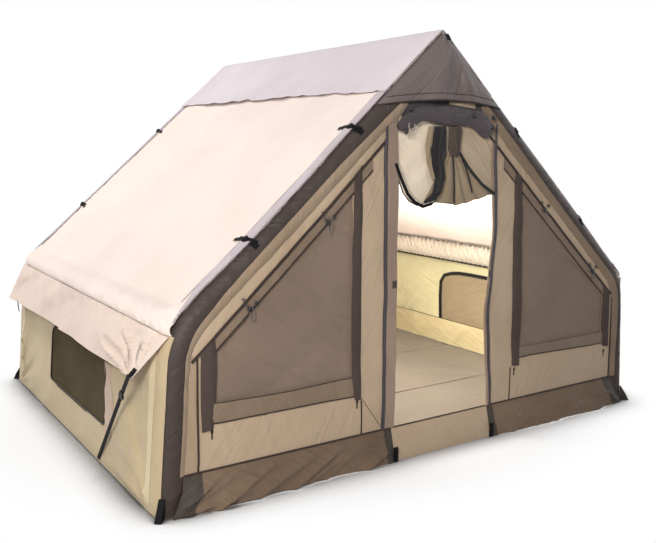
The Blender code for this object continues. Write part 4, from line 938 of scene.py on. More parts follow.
def arch_inside(z):
    """Sideways place of the arch's inner edge on the left at a height."""
    return np.interp(z, inner_z, inner_x)


WINDOW_OUTER = -float(arch_inside(SILL)) - 0.0952
GABLE_LEAN, GABLE_SHIFT = 0.030, 0.029


def gable(place, z):
    """Sideways place on the gable at a height, with the pitch's lean and taper."""
    rise = z - THRESHOLD
    return place * (1 - GABLE_LEAN * rise) + GABLE_SHIFT - GABLE_LEAN * rise


def soft_line(x, points, z):
    """A smooth line through a few measured places."""
    fine = np.interp(z[..., None] + np.linspace(-0.05, 0.05, 9), x, points)
    return fine.mean(axis=-1)


def door_edge(sign, z):
    return soft_line(*DOOR_EDGE[sign], np.asarray(z, float))


def wall_fold(x, z):
    """How far the front canvas stands out in its slanting folds."""
    lean = np.abs(x) * 0.8 + z
    by_leg = fade(np.abs(x), 1.24, 1.29) * fade(z, 0.75, 0.55)
    fold = 0.0040 * swell(lean / 0.11, (z - np.abs(x)) / 0.6, 3.0)
    fold += 0.0030 * crease((z * 0.25 + x) / 0.07, z / 0.5, 6.0)
    return fold + 0.0060 * crease((x + 0.06 * z) / 0.026, z / 0.4, 9.0) * by_leg


def stand_out(x, z):
    """How far the front canvas is from its plane; it is held along the arch and the threshold."""
    x, z = np.asarray(x, float), np.asarray(z, float)
    hold = fade(-arch_inside(z) - np.abs(x), 0, 0.05) * fade(z, THRESHOLD, THRESHOLD + 0.06)
    hold = hold * fade(z, 1.60, 1.50)
    loose = 0.004 * swell(z / 0.16, 0, 8.0) * fade(np.abs(x), 0.42, 0.32)
    return np.maximum((wall_fold(x, z) + loose) * hold, -0.0010)


def front_lay(sign, top):
    def lay(across, up):
        z = THRESHOLD + (top - THRESHOLD) * up
        start, stop = door_edge(sign, z), -sign * arch_inside(z)
        x = start + (stop - start) * across
        return x, -WALL_Y - stand_out(x, z), z
    return lay


def window_corners(sign):
    """The corners of a front window's opening."""
    places = np.array((WINDOW_OUTER, WINDOW_INNER, WINDOW_INNER, WINDOW_OUTER))
    heights = np.where((0, 0, 1, 1), HEIGHT - WINDOW_DROP - places * math.tan(SLOPE), SILL)
    return list(zip(gable(sign * places, heights), heights))


def polygon_area(points):
    return abs(sum(a[0] * b[1] - b[0] * a[1] for a, b in zip(points, points[1:] + points[:1]))) / 2


def cut_upright(piece, outline, near, far):
    """Cuts a window through an upright sheet, between two places along the tent."""
    cut_through(piece, *([(x, y, z) for x, z in outline] for y in (near, far)))
    piece["area"] -= polygon_area(outline)


def net_lay(sign):
    def lay(across, up):
        place = WINDOW_INNER - LAP + (WINDOW_OUTER - WINDOW_INNER + 2 * LAP) * across
        low = SILL - LAP
        high = HEIGHT - WINDOW_DROP + LAP - place * math.tan(SLOPE)
        z = low + (high - low) * up
        x = gable(sign * place, z)
        edge = margin(across, 0.10) * margin(up, 0.12)
        sag = 0.016 * crease((z + sign * x * 0.62 + 0.35) / 0.42, (x - z) / 1.5, 2.0)
        sag += 0.010 * swell((z - sign * x * 0.3) / 0.22, (x + z) / 0.6, 5.0)
        return x, -WALL_Y + CANVAS + NET_GAP + 0.006 * edge + np.maximum(sag, -0.004) * edge, z
    return lay


levels = np.linspace(1.2, 1.9, 701)
door_tops = {}
for side_name, sign in GABLE_SIDES:
    gap = -arch_inside(levels) - sign * door_edge(sign, levels)
    top = door_tops[sign] = float(np.interp(0, -gap, levels))
    flat = (1.10, top - THRESHOLD)
    wall = cloth(f"front_{side_name}_wall_panel", flat, 0.010, front_lay(sign, top), FRONT, front_canvas,
                 pattern=(0, 2))
    cut_upright(wall, window_corners(sign), -WALL_Y - CUT_REACH, -WALL_Y + CUT_REACH)
    declare(wall, flat, "stretched", "wall_canvas", cad=[f"front_{side_name}_wall"],
            rests_on=[f"front_{side_name}_sleeve"])
    sheet(f"front_{side_name}_window_net", (WINDOW_OUTER - WINDOW_INNER + 2 * LAP, 0.89), 0.012, net_lay(sign), FRONT,
          netting, slot="window_mesh", thickness=NET_THREAD, pattern=(0, 2), cad=[f"front_{side_name}_window"],
          rests_on=[f"front_{side_name}_wall"])

# Painted shade: a darker copy of the front canvas, on the strips that turn round the arch sleeves and down the legs.
facing_canvas = woven("arch_facing_painted_shade", "#AB9882", "#9C8973", crumple=0.0018, drag=(62, 0.070, 0.0034))
FACING_PLACES = (0.16, 0.60, 0.70, 0.80, 0.95, 1.10, 1.50, 1.70, 1.90, 2.16)
FACING_TURNS = {1: (109, 108, 105, 98, 88, 84, 82, 80, 84, 92), -1: (108, 92, 92, 94, 97, 98, 99, 97, 96, 98)}


def facing_lay(side):
    def lay(along, across):
        distance = FACING_PLACES[0] + (FACING_PLACES[-1] - FACING_PLACES[0]) * along
        stop = np.interp(distance, FACING_PLACES, FACING_TURNS[side])
        around = (136 + (stop - 136) * across) / 360
        radius = SLEEVE_RADIUS + sleeve_slack(side, -1, around, distance) + 0.0022
        x, z = on_arch(distance, radius * np.cos(math.tau * around))
        return side * x, -(ARCH_Y + radius * np.sin(math.tau * around)), z
    return lay


# Painted shade: the left facing takes the darker copy of the front canvas, the right the brown canvas.
for side_name, side in SIDES:
    sheet(f"front_{side_name}_sleeve_facing", (FACING_PLACES[-1] - FACING_PLACES[0] + 0.1, 0.075), 0.007,
          facing_lay(side), FRONT, facing_canvas if side > 0 else brown_band_and_shade_canvas)

head = max(door_tops.values()) + CLEARANCE
apex_z = float(inner_z[-1])


def gable_lay(across, up):
    z = head + (apex_z - head) * up
    edge = arch_inside(z)
    x = edge - 2 * edge * across
    return x, -WALL_Y + 0.002 * fade(up, 0, 0.3) * np.sin(across * 9), z


sheet("front_gable_panel", (-2 * float(arch_inside(head)), apex_z - head), 0.012, gable_lay, FRONT, front_canvas,
      pattern=(0, 2), cad=["front_gable_top"], rests_on=FRONT_SLEEVES)


# Facings on the front canvas: brown bands round each mesh window, a darker strip down each leg that is painted
# shade on the gable's outer edge, grey flaps over the window's two zips, and a grey-brown strip down each side of
# the door with two squares of hook tape.
door_facing = woven("door_facing_canvas", "#A08E80", "#917F71", crumple=0.0018)
grey_facing = woven("grey_facing_polyester", "#554B46", "#483F3B", roughness=0.7, crumple=0.002, sheen=0.05,
                    specular=0.12)
door_binding = woven("dark_door_binding", "#38343F", "#2A2730", roughness=0.5, crumple=0.002, specular=0.5)
seam_thread = woven("dark_seam_tape", "#382C27", "#2C221E", roughness=0.7, crumple=0.001)


def run_length(line):
    """The length of a line of points."""
    return float(np.linalg.norm(np.diff(line, axis=0), axis=1).sum())


def between(first, last, along, across):
    """Points a share of the way across from one line to another, at a share along both."""
    start, stop = follow(first, along), follow(last, along)
    return start + (stop - start) * across


def band(name, first, last, out, finish, width, wave=0.0, slot="wall_canvas", spacing=0.008, lift=0.0):
    """A strip on the gable between two lines of (x, z) points, standing out from the wall; lift raises one edge."""
    length = run_length(first)

    def lay(along, across):
        x, z = between(first, last, along, across)
        ripple = wave * (1 + swell(along * length / 0.13, across * 1.2, len(name))) * fade(across, 0, 0.3)
        return x, -WALL_Y - stand_out(x, z) - 0.0016 - out - lift * fade(across, 0, 0.35) - ripple, z

    made = cloth(name, (length, width), spacing, lay, FRONT, finish)
    declare(made, (length, max(made["area"] / length, 0.0101)), "stretched", slot)


def slanted(sign, drop, start, stop, count=24):
    """Points on the gable at a drop below the ridge's slope, between two sideways places."""
    places = np.linspace(start, stop, count)
    heights = HEIGHT - drop - places * math.tan(SLOPE)
    return list(zip(gable(sign * places, heights), heights))


def seam(name, points, out, radius, finish=seam_thread):
    """Piping along points on the gable."""
    piping(name, [(x, -WALL_Y - out - float(stand_out(x, z)), z) for x, z in points], radius, finish)


PIPING_DROP, BAND_DROP = 0.200, 0.262
LEG_PLACE, LEG_LOW, LEG_HIGH = 1.300, 0.158, {-1: 0.640, 1: 0.620}
BAND_ENDS = (0.42, 1.235)
for side_name, sign in GABLE_SIDES:
    upper = slanted(sign, PIPING_DROP, *BAND_ENDS)
    lower = slanted(sign, BAND_DROP, *BAND_ENDS)
    band(f"{side_name}_window_upper_band", upper, lower, 0.0010, brown_band_and_shade_canvas, 0.085, wave=0.001)
    seam(f"{side_name}_window_upper_seam", lower, 0.0040, 0.0034)
    jamb = 0.352 if sign < 0 else 0.318
    reach = np.linspace(1.20, 1.36, 161)
    rise = HEIGHT - PIPING_DROP - reach * math.tan(SLOPE)
    outer_end = float(reach[np.argmax(np.abs(gable(sign * reach, rise)) > -arch_inside(rise) - 0.004)])
    seam(f"{side_name}_slanted_piping", slanted(sign, PIPING_DROP, jamb, outer_end, 40), 0.0050, 0.0062)
    if sign < 0:
        places = np.linspace(-1.215, -0.495, 30)
        top = list(zip(places, 0.4305 + 0.003 * np.sin(9 * places)))
        bottom = list(zip(places, 0.3475 + 0.002 * np.sin(4 * places)))
        lower_finish = brown_band_and_shade_canvas
    else:
        places = np.linspace(0.545, 1.285, 30)
        top = [(x, 0.4300) for x in places]
        bottom = list(zip(places, 0.3720 + 0.005 * np.sin(6 * places - 2.4)))
        lower_finish = netting
    band(f"{side_name}_window_lower_band", bottom, top, 0.0012, lower_finish, 0.084, wave=0.002)
    seam(f"{side_name}_window_lower_seam", bottom, 0.0040, 0.0030)
    if sign < 0:
        seam(f"{side_name}_window_sill_seam", top, 0.0040, 0.0022)

# Painted shade: a darker strip down each leg darkens the gable's outer edge, left in the darker facing canvas and
# right in the brown canvas.
for side_name, sign in GABLE_SIDES:
    heights = np.linspace(LEG_LOW, LEG_HIGH[sign], 30)
    outer = list(zip(-sign * (arch_inside(heights) + 0.0015), heights))
    inner = gable(-LEG_PLACE, heights) if sign < 0 else LEG_PLACE + 0.012 * (0.62 - heights) / 0.46
    band(f"{side_name}_leg_facing", list(zip(inner, heights)), outer, 0.0006,
         facing_canvas if sign < 0 else brown_band_and_shade_canvas, 0.060)

FLAPS = {
    ("left", "inner"): ([(-0.467, 1.387), (-0.467, 1.15), (-0.468, 0.79), (-0.462, 0.42), (-0.460, 0.325)],
                        [(-0.514, 1.345), (-0.524, 1.0), (-0.526, 0.61), (-0.514, 0.42), (-0.504, 0.332)]),
    ("left", "outer"): ([(-1.183, 0.712), (-1.182, 0.53), (-1.186, 0.45), (-1.200, 0.328)],
                        [(-1.254, 0.652), (-1.257, 0.53), (-1.257, 0.43), (-1.254, 0.324)]),
    ("right", "inner"): ([(0.478, 1.352), (0.482, 1.0), (0.492, 0.69), (0.508, 0.340)],
                         [(0.522, 1.315), (0.536, 1.0), (0.548, 0.69), (0.556, 0.336)]),
    ("right", "outer"): ([(1.214, 0.704), (1.217, 0.55), (1.222, 0.47), (1.240, 0.348)],
                         [(1.268, 0.655), (1.274, 0.55), (1.279, 0.45), (1.283, 0.344)]),
}
for (side_name, place), (sewn, free) in FLAPS.items():
    band(f"{side_name}_{place}_zip_flap", sewn, free, 0.0016, grey_facing, 0.062, wave=0.0012, lift=0.0068,
         slot="sleeve_fabric")


def facing_top(outer, inner, low, high):
    """The door facing's upper end, laid over the arch sleeve up to the hood."""
    def lay(across, up):
        x, z = outer + (inner - outer) * across, low + (high - low) * up
        deep = np.min(np.hypot(-np.abs(x)[..., None] - ARCH_X, z[..., None] - ARCH_Z), axis=-1)
        bulge = np.sqrt(np.maximum((SLEEVE_RADIUS + 0.0045) ** 2 - deep ** 2, 0))
        return x, -np.maximum(WALL_Y + 0.001 + stand_out(x, z), ARCH_Y + bulge) - 0.0030, z
    return lay


def on_sheet(lay, across, up):
    """Points of a sheet at shares of its cut."""
    shares = np.broadcast_arrays(np.asarray(across, float), np.asarray(up, float))
    return np.stack(np.broadcast_arrays(*lay(*shares)), axis=1)


for side_name, sign, jamb_line in (
        ("left", -1, ((0.155, 0.30, 0.77, 1.23, 1.49, 1.60), (-0.333, -0.331, -0.334, -0.344, -0.342, -0.336))),
        ("right", 1, ((0.155, 0.19, 0.45, 0.65, 0.87, 1.03, 1.26, 1.45, 1.57),
                      (0.357, 0.355, 0.333, 0.320, 0.333, 0.352, 0.338, 0.332, 0.330)))):
    heights = np.linspace(THRESHOLD + 0.002, 1.500, 60)
    jamb_x, edge_x = soft_line(*jamb_line, heights), door_edge(sign, heights) - sign * 0.001
    jamb_points = list(zip(jamb_x, heights))
    band(f"{side_name}_door_facing", jamb_points, list(zip(edge_x, heights)), 0.0012, door_facing, 0.075, wave=0.003)
    seam(f"{side_name}_door_binding", jamb_points, 0.0050, 0.0082, door_binding)
    top_lay = facing_top(jamb_x[-1], edge_x[-1], heights[-1] - 0.004, 1.645)
    sheet(f"{side_name}_door_facing_top", (0.060, 1.66 - float(heights[-1])), 0.006, top_lay, FRONT, door_facing)
    piping(f"{side_name}_door_binding_top", on_sheet(top_lay, 0, np.linspace(0, 1, 10)) + (0, -0.004, 0), 0.0050,
           door_binding)
    for number, z in enumerate((0.841, 0.199)):
        x = float(door_edge(sign, z)) + sign * 0.016
        sides = [[(x + half, z + rise) for rise in (-0.017, 0, 0.017)] for half in (-0.012, 0.012)]
        band(f"{side_name}_hook_square_{number}", *sides, 0.0045, grey_facing, 0.024, slot="black_webbing",
             spacing=0.005)

leg_line = [(gable(-LEG_PLACE, z), z) for z in np.linspace(LEG_LOW, LEG_HIGH[-1], 24)]
seam("left_lower_piping", leg_line, 0.0032, 0.0042)
for name, radius, points in (
        ("left_inner", 0.0032, ((-0.459, 0.318), (-0.457, 0.24), (-0.455, LEG_LOW))),
        ("right_inner", 0.0026, ((0.500, 0.333), (0.503, 0.24), (0.501, LEG_LOW))),
        ("right_lower", 0.0036, ((1.300, 0.620), (1.306, 0.48), (1.310, 0.34), (1.312, LEG_LOW)))):
    seam(name + "_piping", points, 0.0032, radius)
seam("left_corner_seam", [(-0.455, 0.327), (-0.40, 0.25), (-0.338, 0.165)], 0.0008, 0.0014)


# Window zips: white coil teeth on each zip's line, under its flap, with the slider at rest below the flap.
ZIP_FOOT, TOOTH_PITCH, SLIDER_ROOM = 0.318, 0.0065, 0.024
white_plastic = hard("moulded_white_nylon", "#E8E7E1", 0.40)
zip_enamel = hard("black_enamelled_zinc", "#202024", 0.38, metallic=0.6)
for side_name, sign in GABLE_SIDES:
    for place_name, place, length in (("inner", 0.508, 0.98), ("outer", 1.237, 0.30)):
        name = f"{side_name}_{place_name}"
        run = Vector((-GABLE_LEAN * (1 + sign * place), 0, 1)).normalized()
        foot = Vector((gable(sign * place, ZIP_FOOT), -WALL_Y - 0.0009, ZIP_FOOT)) - run * SLIDER_ROOM
        teeth = add(name + "_zip_teeth", bpy.ops.mesh.primitive_cube_add, size=1, location=foot)
        teeth.scale = (0.0075, 0.0016, 0.0036)
        bpy.ops.object.transform_apply(location=True, rotation=True, scale=True)
        chain = teeth.modifiers.new("chain", "ARRAY")
        chain.use_relative_offset = False
        chain.use_constant_offset = True
        chain.constant_offset_displace = run * TOOTH_PITCH
        chain.count = int((length + 0.02) / TOOTH_PITCH)
        apply_all(teeth)
        teeth.data.materials.append(white_plastic)
        trim(teeth)
        finish_node(name + "_zip_slider", zip_enamel)


# Window toggles: a webbing tab across each upper band, a black bead at its end and a loop of elastic cord, which
# hold the window's cover when it is rolled up.
TOGGLE_Y = -WALL_Y - 0.0145
toggle_webbing = woven("grey_toggle_webbing", "#6D6560", "#5A5350", thread=0.0025, weave=0.0003)
elastic = woven("grey_elastic_cord", "#8B8683", "#6E6967", thread=0.0016, weave=0.0004, crumple=0.0005)
for number, (x, z, lean) in enumerate(((-1.034, 0.808, -0.026), (-0.654, 1.146, -0.026), (0.691, 1.146, -0.014),
                                       (1.103, 0.792, -0.014))):
    name = f"toggle_{number}_"
    sides = [((x + lean + half, z + 0.046), (x + half, z - 0.004)) for half in (-0.008, 0.008)]
    band(name + "tab", *sides, 0.0055, toggle_webbing, 0.016, slot="black_webbing", spacing=0.004)
    bead(name + "bead", (x, TOGGLE_Y, z), (0.0105, 0.0065, 0.0125))
    bead(name + "stop", (x + 0.030, TOGGLE_Y, z + 0.022), (0.0075, 0.0060, 0.0085))
    loop = [(x + 0.012 + 0.010 * math.sin(a), TOGGLE_Y + 0.002, z - 0.024 + 0.026 * math.cos(a))
            for a in np.linspace(0, math.tau, 18, endpoint=False)]
    piping(name + "loop", loop, 0.0021, elastic, closed=True)
    stem = [(x + right, TOGGLE_Y, z + rise) for right, rise in ((0.003, 0.003), (0.016, 0.014), (0.029, 0.021))]
    piping(name + "stem", stem, 0.0021, elastic)


# Skirts and threshold: brown canvas from the threshold line to the ground, flared out and pegged at the leg and
# the jamb, so it lifts between them and pulls into slanting folds. A grey gusset closes each end.
skirt_canvas = woven("brown_skirt_canvas", "#826F5D", "#6B5A4B", crumple=0.0025, drag=(-26, 0.060, 0.0090))
gusset_polyester = woven("gusset_polyester", "#47403A", "#3B3530", roughness=0.6, crumple=0.003,
                         drag=(40, 0.030, 0.0060))
FLARE = 0.040
SKIRT_FLAT = (1.13, 0.162)
DOOR_HALF = 0.311
LEG_X = -float(arch_inside(THRESHOLD))


def skirt_x(sign, along, z):
    start = gable(sign * DOOR_HALF, THRESHOLD) + sign * CLEARANCE
    stop = np.interp(z, (0, 0.09, THRESHOLD), (1.396, LEG_X + 0.014, LEG_X))
    return start + (sign * stop - start) * along


def skirt_lay(sign, first=0.0, last=1.0, out=0.0):
    def lay(across, down):
        along = first + (last - first) * across
        lift = 0.007 * np.sin(math.pi * along)
        z = THRESHOLD - CLEARANCE - (THRESHOLD - CLEARANCE - lift) * down
        x = skirt_x(sign, along, z)
        free = fade(down, 0, 0.5) * fade(along, 0, 0.06) * fade(along, 1, 0.94)
        slant = (np.abs(x) * 0.9 + z * 2.2) / 0.17
        bearing = np.arctan2(z, 1.42 - np.abs(x))
        fold = 0.0260 * crease(slant, down * 0.4, 3.0 + sign) + 0.0080 * crease(slant * 2.1 + 3, down, 8.0)
        fold += 0.0200 * crease(bearing / 0.20, along * 1.2, 5.0 + sign) * fade(along, 0.5, 0.95)
        fold += 0.0025 * swell(along * 22, down * 2, 5.0)
        return x, -WALL_Y - FLARE * (1 - z / THRESHOLD) - fold * free - out, z
    return lay


for side_name, sign in GABLE_SIDES:
    sheet(f"front_{side_name}_skirt_panel", SKIRT_FLAT, 0.008, skirt_lay(sign), (0, -1, 0.2), skirt_canvas, "hung",
          "skirt_canvas", cad=[f"front_{side_name}_skirt"])
    for part, first, last in (("leg", 0.925, 1.0), ("jamb", 0.0, 0.040)):
        sheet(f"front_{side_name}_{part}_gusset", (SKIRT_FLAT[0] * (last - first), SKIRT_FLAT[1]), 0.008,
              skirt_lay(sign, first, last, 0.0022), (0, -1, 0.2), gusset_polyester, "hung", "skirt_canvas")
    line = [(float(skirt_x(sign, a, THRESHOLD)), THRESHOLD) for a in np.linspace(0, 1, 20)]
    seam(f"{side_name}_skirt_piping", line, 0.0035, 0.0042)


def threshold_lay(across, down):
    left, right = gable(-DOOR_HALF, THRESHOLD) + CLEARANCE, gable(DOOR_HALF, THRESHOLD) - CLEARANCE
    z = (THRESHOLD - CLEARANCE) * (1 - down)
    fold = 0.003 * swell(across * 5 + down, down * 1.5, 4.0) * fade(down, 0, 0.4)
    return left + (right - left) * across, -WALL_Y - FLARE * down - np.maximum(fold, -0.001), z


finish_node("front_right_foot", gusset_polyester)
sheet("door_threshold_panel", (2 * DOOR_HALF, 0.160), 0.009, threshold_lay, (0, -1, 0.2), front_canvas, "hung",
      cad=["door_threshold"])
seam("threshold_piping", [(float(gable(p, THRESHOLD)), THRESHOLD) for p in (-0.30, 0, 0.30)], 0.0020, 0.0038)


# Rear gable: one canvas panel from the ground to the apex with a mesh window between two facing bands, its brown
# foot band and bindings.
REAR_HALF, REAR_LOW, REAR_HIGH, REAR_BAND, REAR_FOOT = 0.550, 0.620, 1.120, 0.035, 0.150
REAR = (0, 1, 0)


def rear_lay(across, up):
    z = apex_z * up
    edge = arch_inside(z)
    x = edge - 2 * edge * across
    hold = fade(np.abs(edge) - np.abs(x), 0, 0.06) * fade(z, 0, 0.06)
    return x, WALL_Y + np.maximum(wall_fold(x, z), -0.0015) * hold, z


def rear_net_lay(across, up):
    x = (REAR_HALF + LAP) * (2 * across - 1)
    z = REAR_LOW - LAP + (REAR_HIGH - REAR_LOW + 2 * LAP) * up
    edge = margin(across, 0.10) * margin(up, 0.12)
    sag = 0.010 * swell((z + x) / 0.25, (x - z) / 0.7, 3.0) + 0.008
    return x, WALL_Y - CANVAS - NET_GAP - np.maximum(sag, 0) * edge, z


flat = (-2 * float(arch_inside(0.0)), apex_z)
wall = cloth("rear_wall_panel", flat, 0.014, rear_lay, REAR, front_canvas, pattern=(0, 2))
outline = [(-REAR_HALF, REAR_LOW), (REAR_HALF, REAR_LOW), (REAR_HALF, REAR_HIGH), (-REAR_HALF, REAR_HIGH)]
cut_upright(wall, outline, WALL_Y + CUT_REACH, WALL_Y - CUT_REACH)
declare(wall, flat, "stretched", "wall_canvas", cad=["rear_wall"], rests_on=["rear_left_sleeve"])
sheet("rear_window_net", (2 * (REAR_HALF + LAP), REAR_HIGH - REAR_LOW + 2 * LAP), 0.014, rear_net_lay, REAR, netting,
      slot="window_mesh", thickness=NET_THREAD, cad=["rear_window"], rests_on=["rear_wall"])
piping("rear_window_piping", [(x, WALL_Y + 0.002, z) for x, z in outline], 0.0040, seam_thread, closed=True)
for number, low in enumerate((REAR_LOW - REAR_BAND, REAR_HIGH)):
    def rear_band_lay(along, across, low=low):
        return (REAR_HALF + 0.02) * (2 * along - 1), WALL_Y + 0.0068, low + REAR_BAND * across

    sheet(f"rear_window_band_{number}", (2 * REAR_HALF + 0.04, REAR_BAND), 0.012, rear_band_lay, REAR, brown_band_and_shade_canvas)


def rear_foot_lay(along, up):
    z = REAR_FOOT * up
    edge = arch_inside(z) + 0.002
    x = edge - 2 * edge * along
    out = 0.006 + 0.005 * crease((x + z * 2) / 0.16, up, 4.0)
    return x, WALL_Y + 0.0022 + out * margin(along, 0.03), z


sheet("rear_foot_band", (2.66, REAR_FOOT), 0.011, rear_foot_lay, REAR, skirt_canvas, slot="skirt_canvas")
piping("rear_foot_piping", [(x, WALL_Y + 0.006, REAR_FOOT) for x in np.linspace(-LEG_X, LEG_X, 20)], 0.0038,
       seam_thread)


# Groundsheet: one coated sheet laid on the ground, a little rumpled, with two welded seams across it.
ground_fabric = woven("coated_groundsheet", "#8B847A", "#7F786E", roughness=0.55, crumple=0.003)
ground_low, ground_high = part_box("groundsheet")


def ground_lay(across, along):
    x = ground_low.x + (ground_high.x - ground_low.x) * across
    y = ground_low.y + (ground_high.y - ground_low.y) * along
    rise = 0.003 * crease((x + y) / 0.28, (x - y) / 0.8, 2.0) + 0.002 * crease((x - 0.6 * y) / 0.2, y / 0.6, 6.0)
    return x, y, ground_high.z + rise * margin(across, 0.03) * margin(along, 0.03)


sheet("groundsheet_fabric", (ground_high.x - ground_low.x, ground_high.y - ground_low.y), 0.018, ground_lay,
      (0, 0, 1), ground_fabric, "laid", "ground_fabric", cad=["groundsheet"])
for number, y in enumerate((-0.36, 0.36)):
    line = [(x, y, ground_high.z + 0.0035) for x in np.linspace(ground_low.x + 0.01, ground_high.x - 0.01, 40)]
    piping(f"groundsheet_seam_{number}", line, 0.0022, ground_fabric)


# Inside of the side walls: a pale band above the groundsheet and dark piping under each eave beam, partly piping
# and partly a painted shadow line under the beam. The right side, which shows through the door, also has its
# lining and the window's canvas cover, zipped shut behind the mesh.
inside_canvas = woven("inner_wall_canvas", "#DFD3A8", "#D2C59A", crumple=0.003, drag=(20, 0.060, 0.0050))
cover_canvas = woven("window_cover_canvas", "#A5967A", "#988A6F", crumple=0.003, drag=(20, 0.060, 0.0040))
cover_zip = woven("black_zip_tape", "#1E1C1E", "#161416", roughness=0.6, crumple=0.0006)
ARC_Y = (0.430, 0.428, 0.424, 0.410, 0.370, 0.290, 0.209, 0.086, -0.09, -0.28, -0.40, -0.455, -0.480, -0.486)
ARC_Z = (0.200, 0.270, 0.375, 0.480, 0.530, 0.553, 0.564, 0.567, 0.567, 0.560, 0.535, 0.480, 0.380, 0.200)
FOOT_LOW, FOOT_HIGH, FOOT_END = 0.006, 0.190, 1.02


def inside_face(side, y, z, out):
    """A point on the inner face of a side wall's canvas."""
    return wall_face(side, y, z, -CANVAS - out)


for side_name, side in SIDES:
    # The dark piping under the beam is partly a painted shadow line.
    line = [(side * (EAVE_X - 0.010), y, EAVE_Z - BEAM_RADIUS - 0.003) for y in np.linspace(-BEAM_END, BEAM_END, 40)]
    piping(side_name + "_beam_piping", line, 0.0045, seam_thread)

    def foot_lay(along, up, side=side):
        y, z = FOOT_END * (2 * along - 1), FOOT_LOW + (FOOT_HIGH - FOOT_LOW) * up
        return inside_face(side, y, z, 0.010 + 0.012 * crease((y + z) / 0.2, up, 3.0) * fade(up, 1, 0.8))

    sheet(side_name + "_inner_foot_band", (2 * FOOT_END, 0.200), 0.014, foot_lay, (side, 0, 0), inside_canvas)
    line = [inside_face(side, y, FOOT_HIGH, 0.009) for y in np.linspace(-FOOT_END, FOOT_END, 30)]
    piping(side_name + "_inner_foot_seam", line, 0.0022, seam_thread)


lining_canvas = woven("inner_wall_lining", "#EBE6BE", "#E0D9B0", crumple=0.003, drag=(20, 0.060, 0.0040))


def lining_lay(along, up):
    y, z = -1.00 + 2.00 * along, 0.185 + 0.475 * up
    return inside_face(-1, y, z, 0.003 - side_fold(-1, y, z))


flat = (2.00, 0.480)
lining = cloth("right_wall_lining", flat, 0.014, lining_lay, (-1, 0, 0), lining_canvas)
cut_through(lining, *([inside_face(-1, y, z, out) for y, z in window_edge] for out in (0.05, -0.05)))
lining["area"] -= window_area
declare(lining, flat, "stretched", "wall_canvas")


def cover_lay(along, up):
    y = ARC_Y[0] + (ARC_Y[-1] - ARC_Y[0]) * along
    head_z = np.interp(y, ARC_Y[::-1], ARC_Z[::-1])
    z = 0.196 + (np.maximum(head_z, 0.21) - 0.196) * up
    edge = margin(along, 0.08) * margin(up, 0.12)
    return inside_face(-1, y, z, 0.016 + 0.006 * edge + 0.004 * swell((y + z) / 0.14, (y - z) / 0.3, 5.0) * edge)


sheet("right_window_cover", (ARC_Y[0] - ARC_Y[-1], 0.372), 0.012, cover_lay, (-1, 0, 0), cover_canvas)
piping("right_cover_zip", [inside_face(-1, y, z, 0.019) for y, z in zip(ARC_Y, ARC_Z)], 0.0130, cover_zip)
# Painted shadow: this thick dark piping under the right eave beam is partly piping, partly the beam's shadow line.
turn = 1.08 * math.pi
line = [(-EAVE_X + BEAM_RADIUS * math.sin(turn), y, EAVE_Z + (BEAM_RADIUS + 0.010) * math.cos(turn))
        for y in np.linspace(-BEAM_END + 0.01, BEAM_END - 0.01, 30)]
piping("right_beam_piping", line, 0.0090, seam_thread)


# Door mesh, gathered into a sagging roll under the hood: dark netting, bunched at the two ends, which hang lower
# than its middle, and creased along its length. Beads and a cord loop hold it below its heading.
ROLL_PLACES = (-0.290, -0.280, -0.245, -0.205, -0.160, -0.100, -0.010, 0.070, 0.125, 0.165, 0.225, 0.270, 0.288)
ROLL_RISES = (-0.037, -0.032, -0.015, 0.012, 0.037, 0.030, 0.017, 0.021, 0.030, 0.005, -0.021, -0.035, -0.040)
ROLL_RADII = (0.012, 0.032, 0.050, 0.044, 0.030, 0.036, 0.050, 0.044, 0.033, 0.050, 0.066, 0.042, 0.014)
SLEEVE_PEAK = 1.8434
ROLL_BASE = SLEEVE_PEAK - 0.290 * math.tan(SLOPE)
ROLL_DEPTH = 0.46
roll_mesh = woven("gathered_door_mesh", "#4E474B", "#383339", thread=0.0035, weave=0.0004, roughness=0.6,
                  crumple=0.008, drag=(80, 0.020, 0.0060), specular=0.4)


def roll_lay(around, along):
    x = ROLL_PLACES[0] + (ROLL_PLACES[-1] - ROLL_PLACES[0]) * along
    turn = math.tau * around
    line = soft_line(ROLL_PLACES, ROLL_RADII, x)
    radius = line * fade(np.minimum(along, 1 - along), -0.03, 0.04)
    middle = ROLL_BASE + soft_line(ROLL_PLACES, ROLL_RISES, x)
    ends = np.interp(x, (-0.29, -0.16, 0.13, 0.29), (1, 0, 0, 1))
    fold = 0.26 * crease(around * 7 + x * 8, x / 0.15, 3.0)
    fold += 0.22 * crease(x / 0.030 + around * 6, around * 4, 7.0) * ends
    fold += 0.12 * swell(x / 0.05, around * 5, 9.0)
    radius = np.maximum(radius * (0.86 + fold * (1 - 0.4 * np.abs(np.sin(turn)))), 0.0001)
    y = -WALL_Y - 0.0047 - ROLL_DEPTH * line + ROLL_DEPTH * radius * np.cos(turn)
    return x, np.minimum(y, -WALL_Y - 0.0045), middle + radius * np.sin(turn)


def from_roll(points):
    """Which way is out of the roll at each point."""
    x, y, z = points.T
    return np.stack([0 * x, y + WALL_Y + 0.02, z - ROLL_BASE - np.interp(x, ROLL_PLACES, ROLL_RISES)], axis=1)


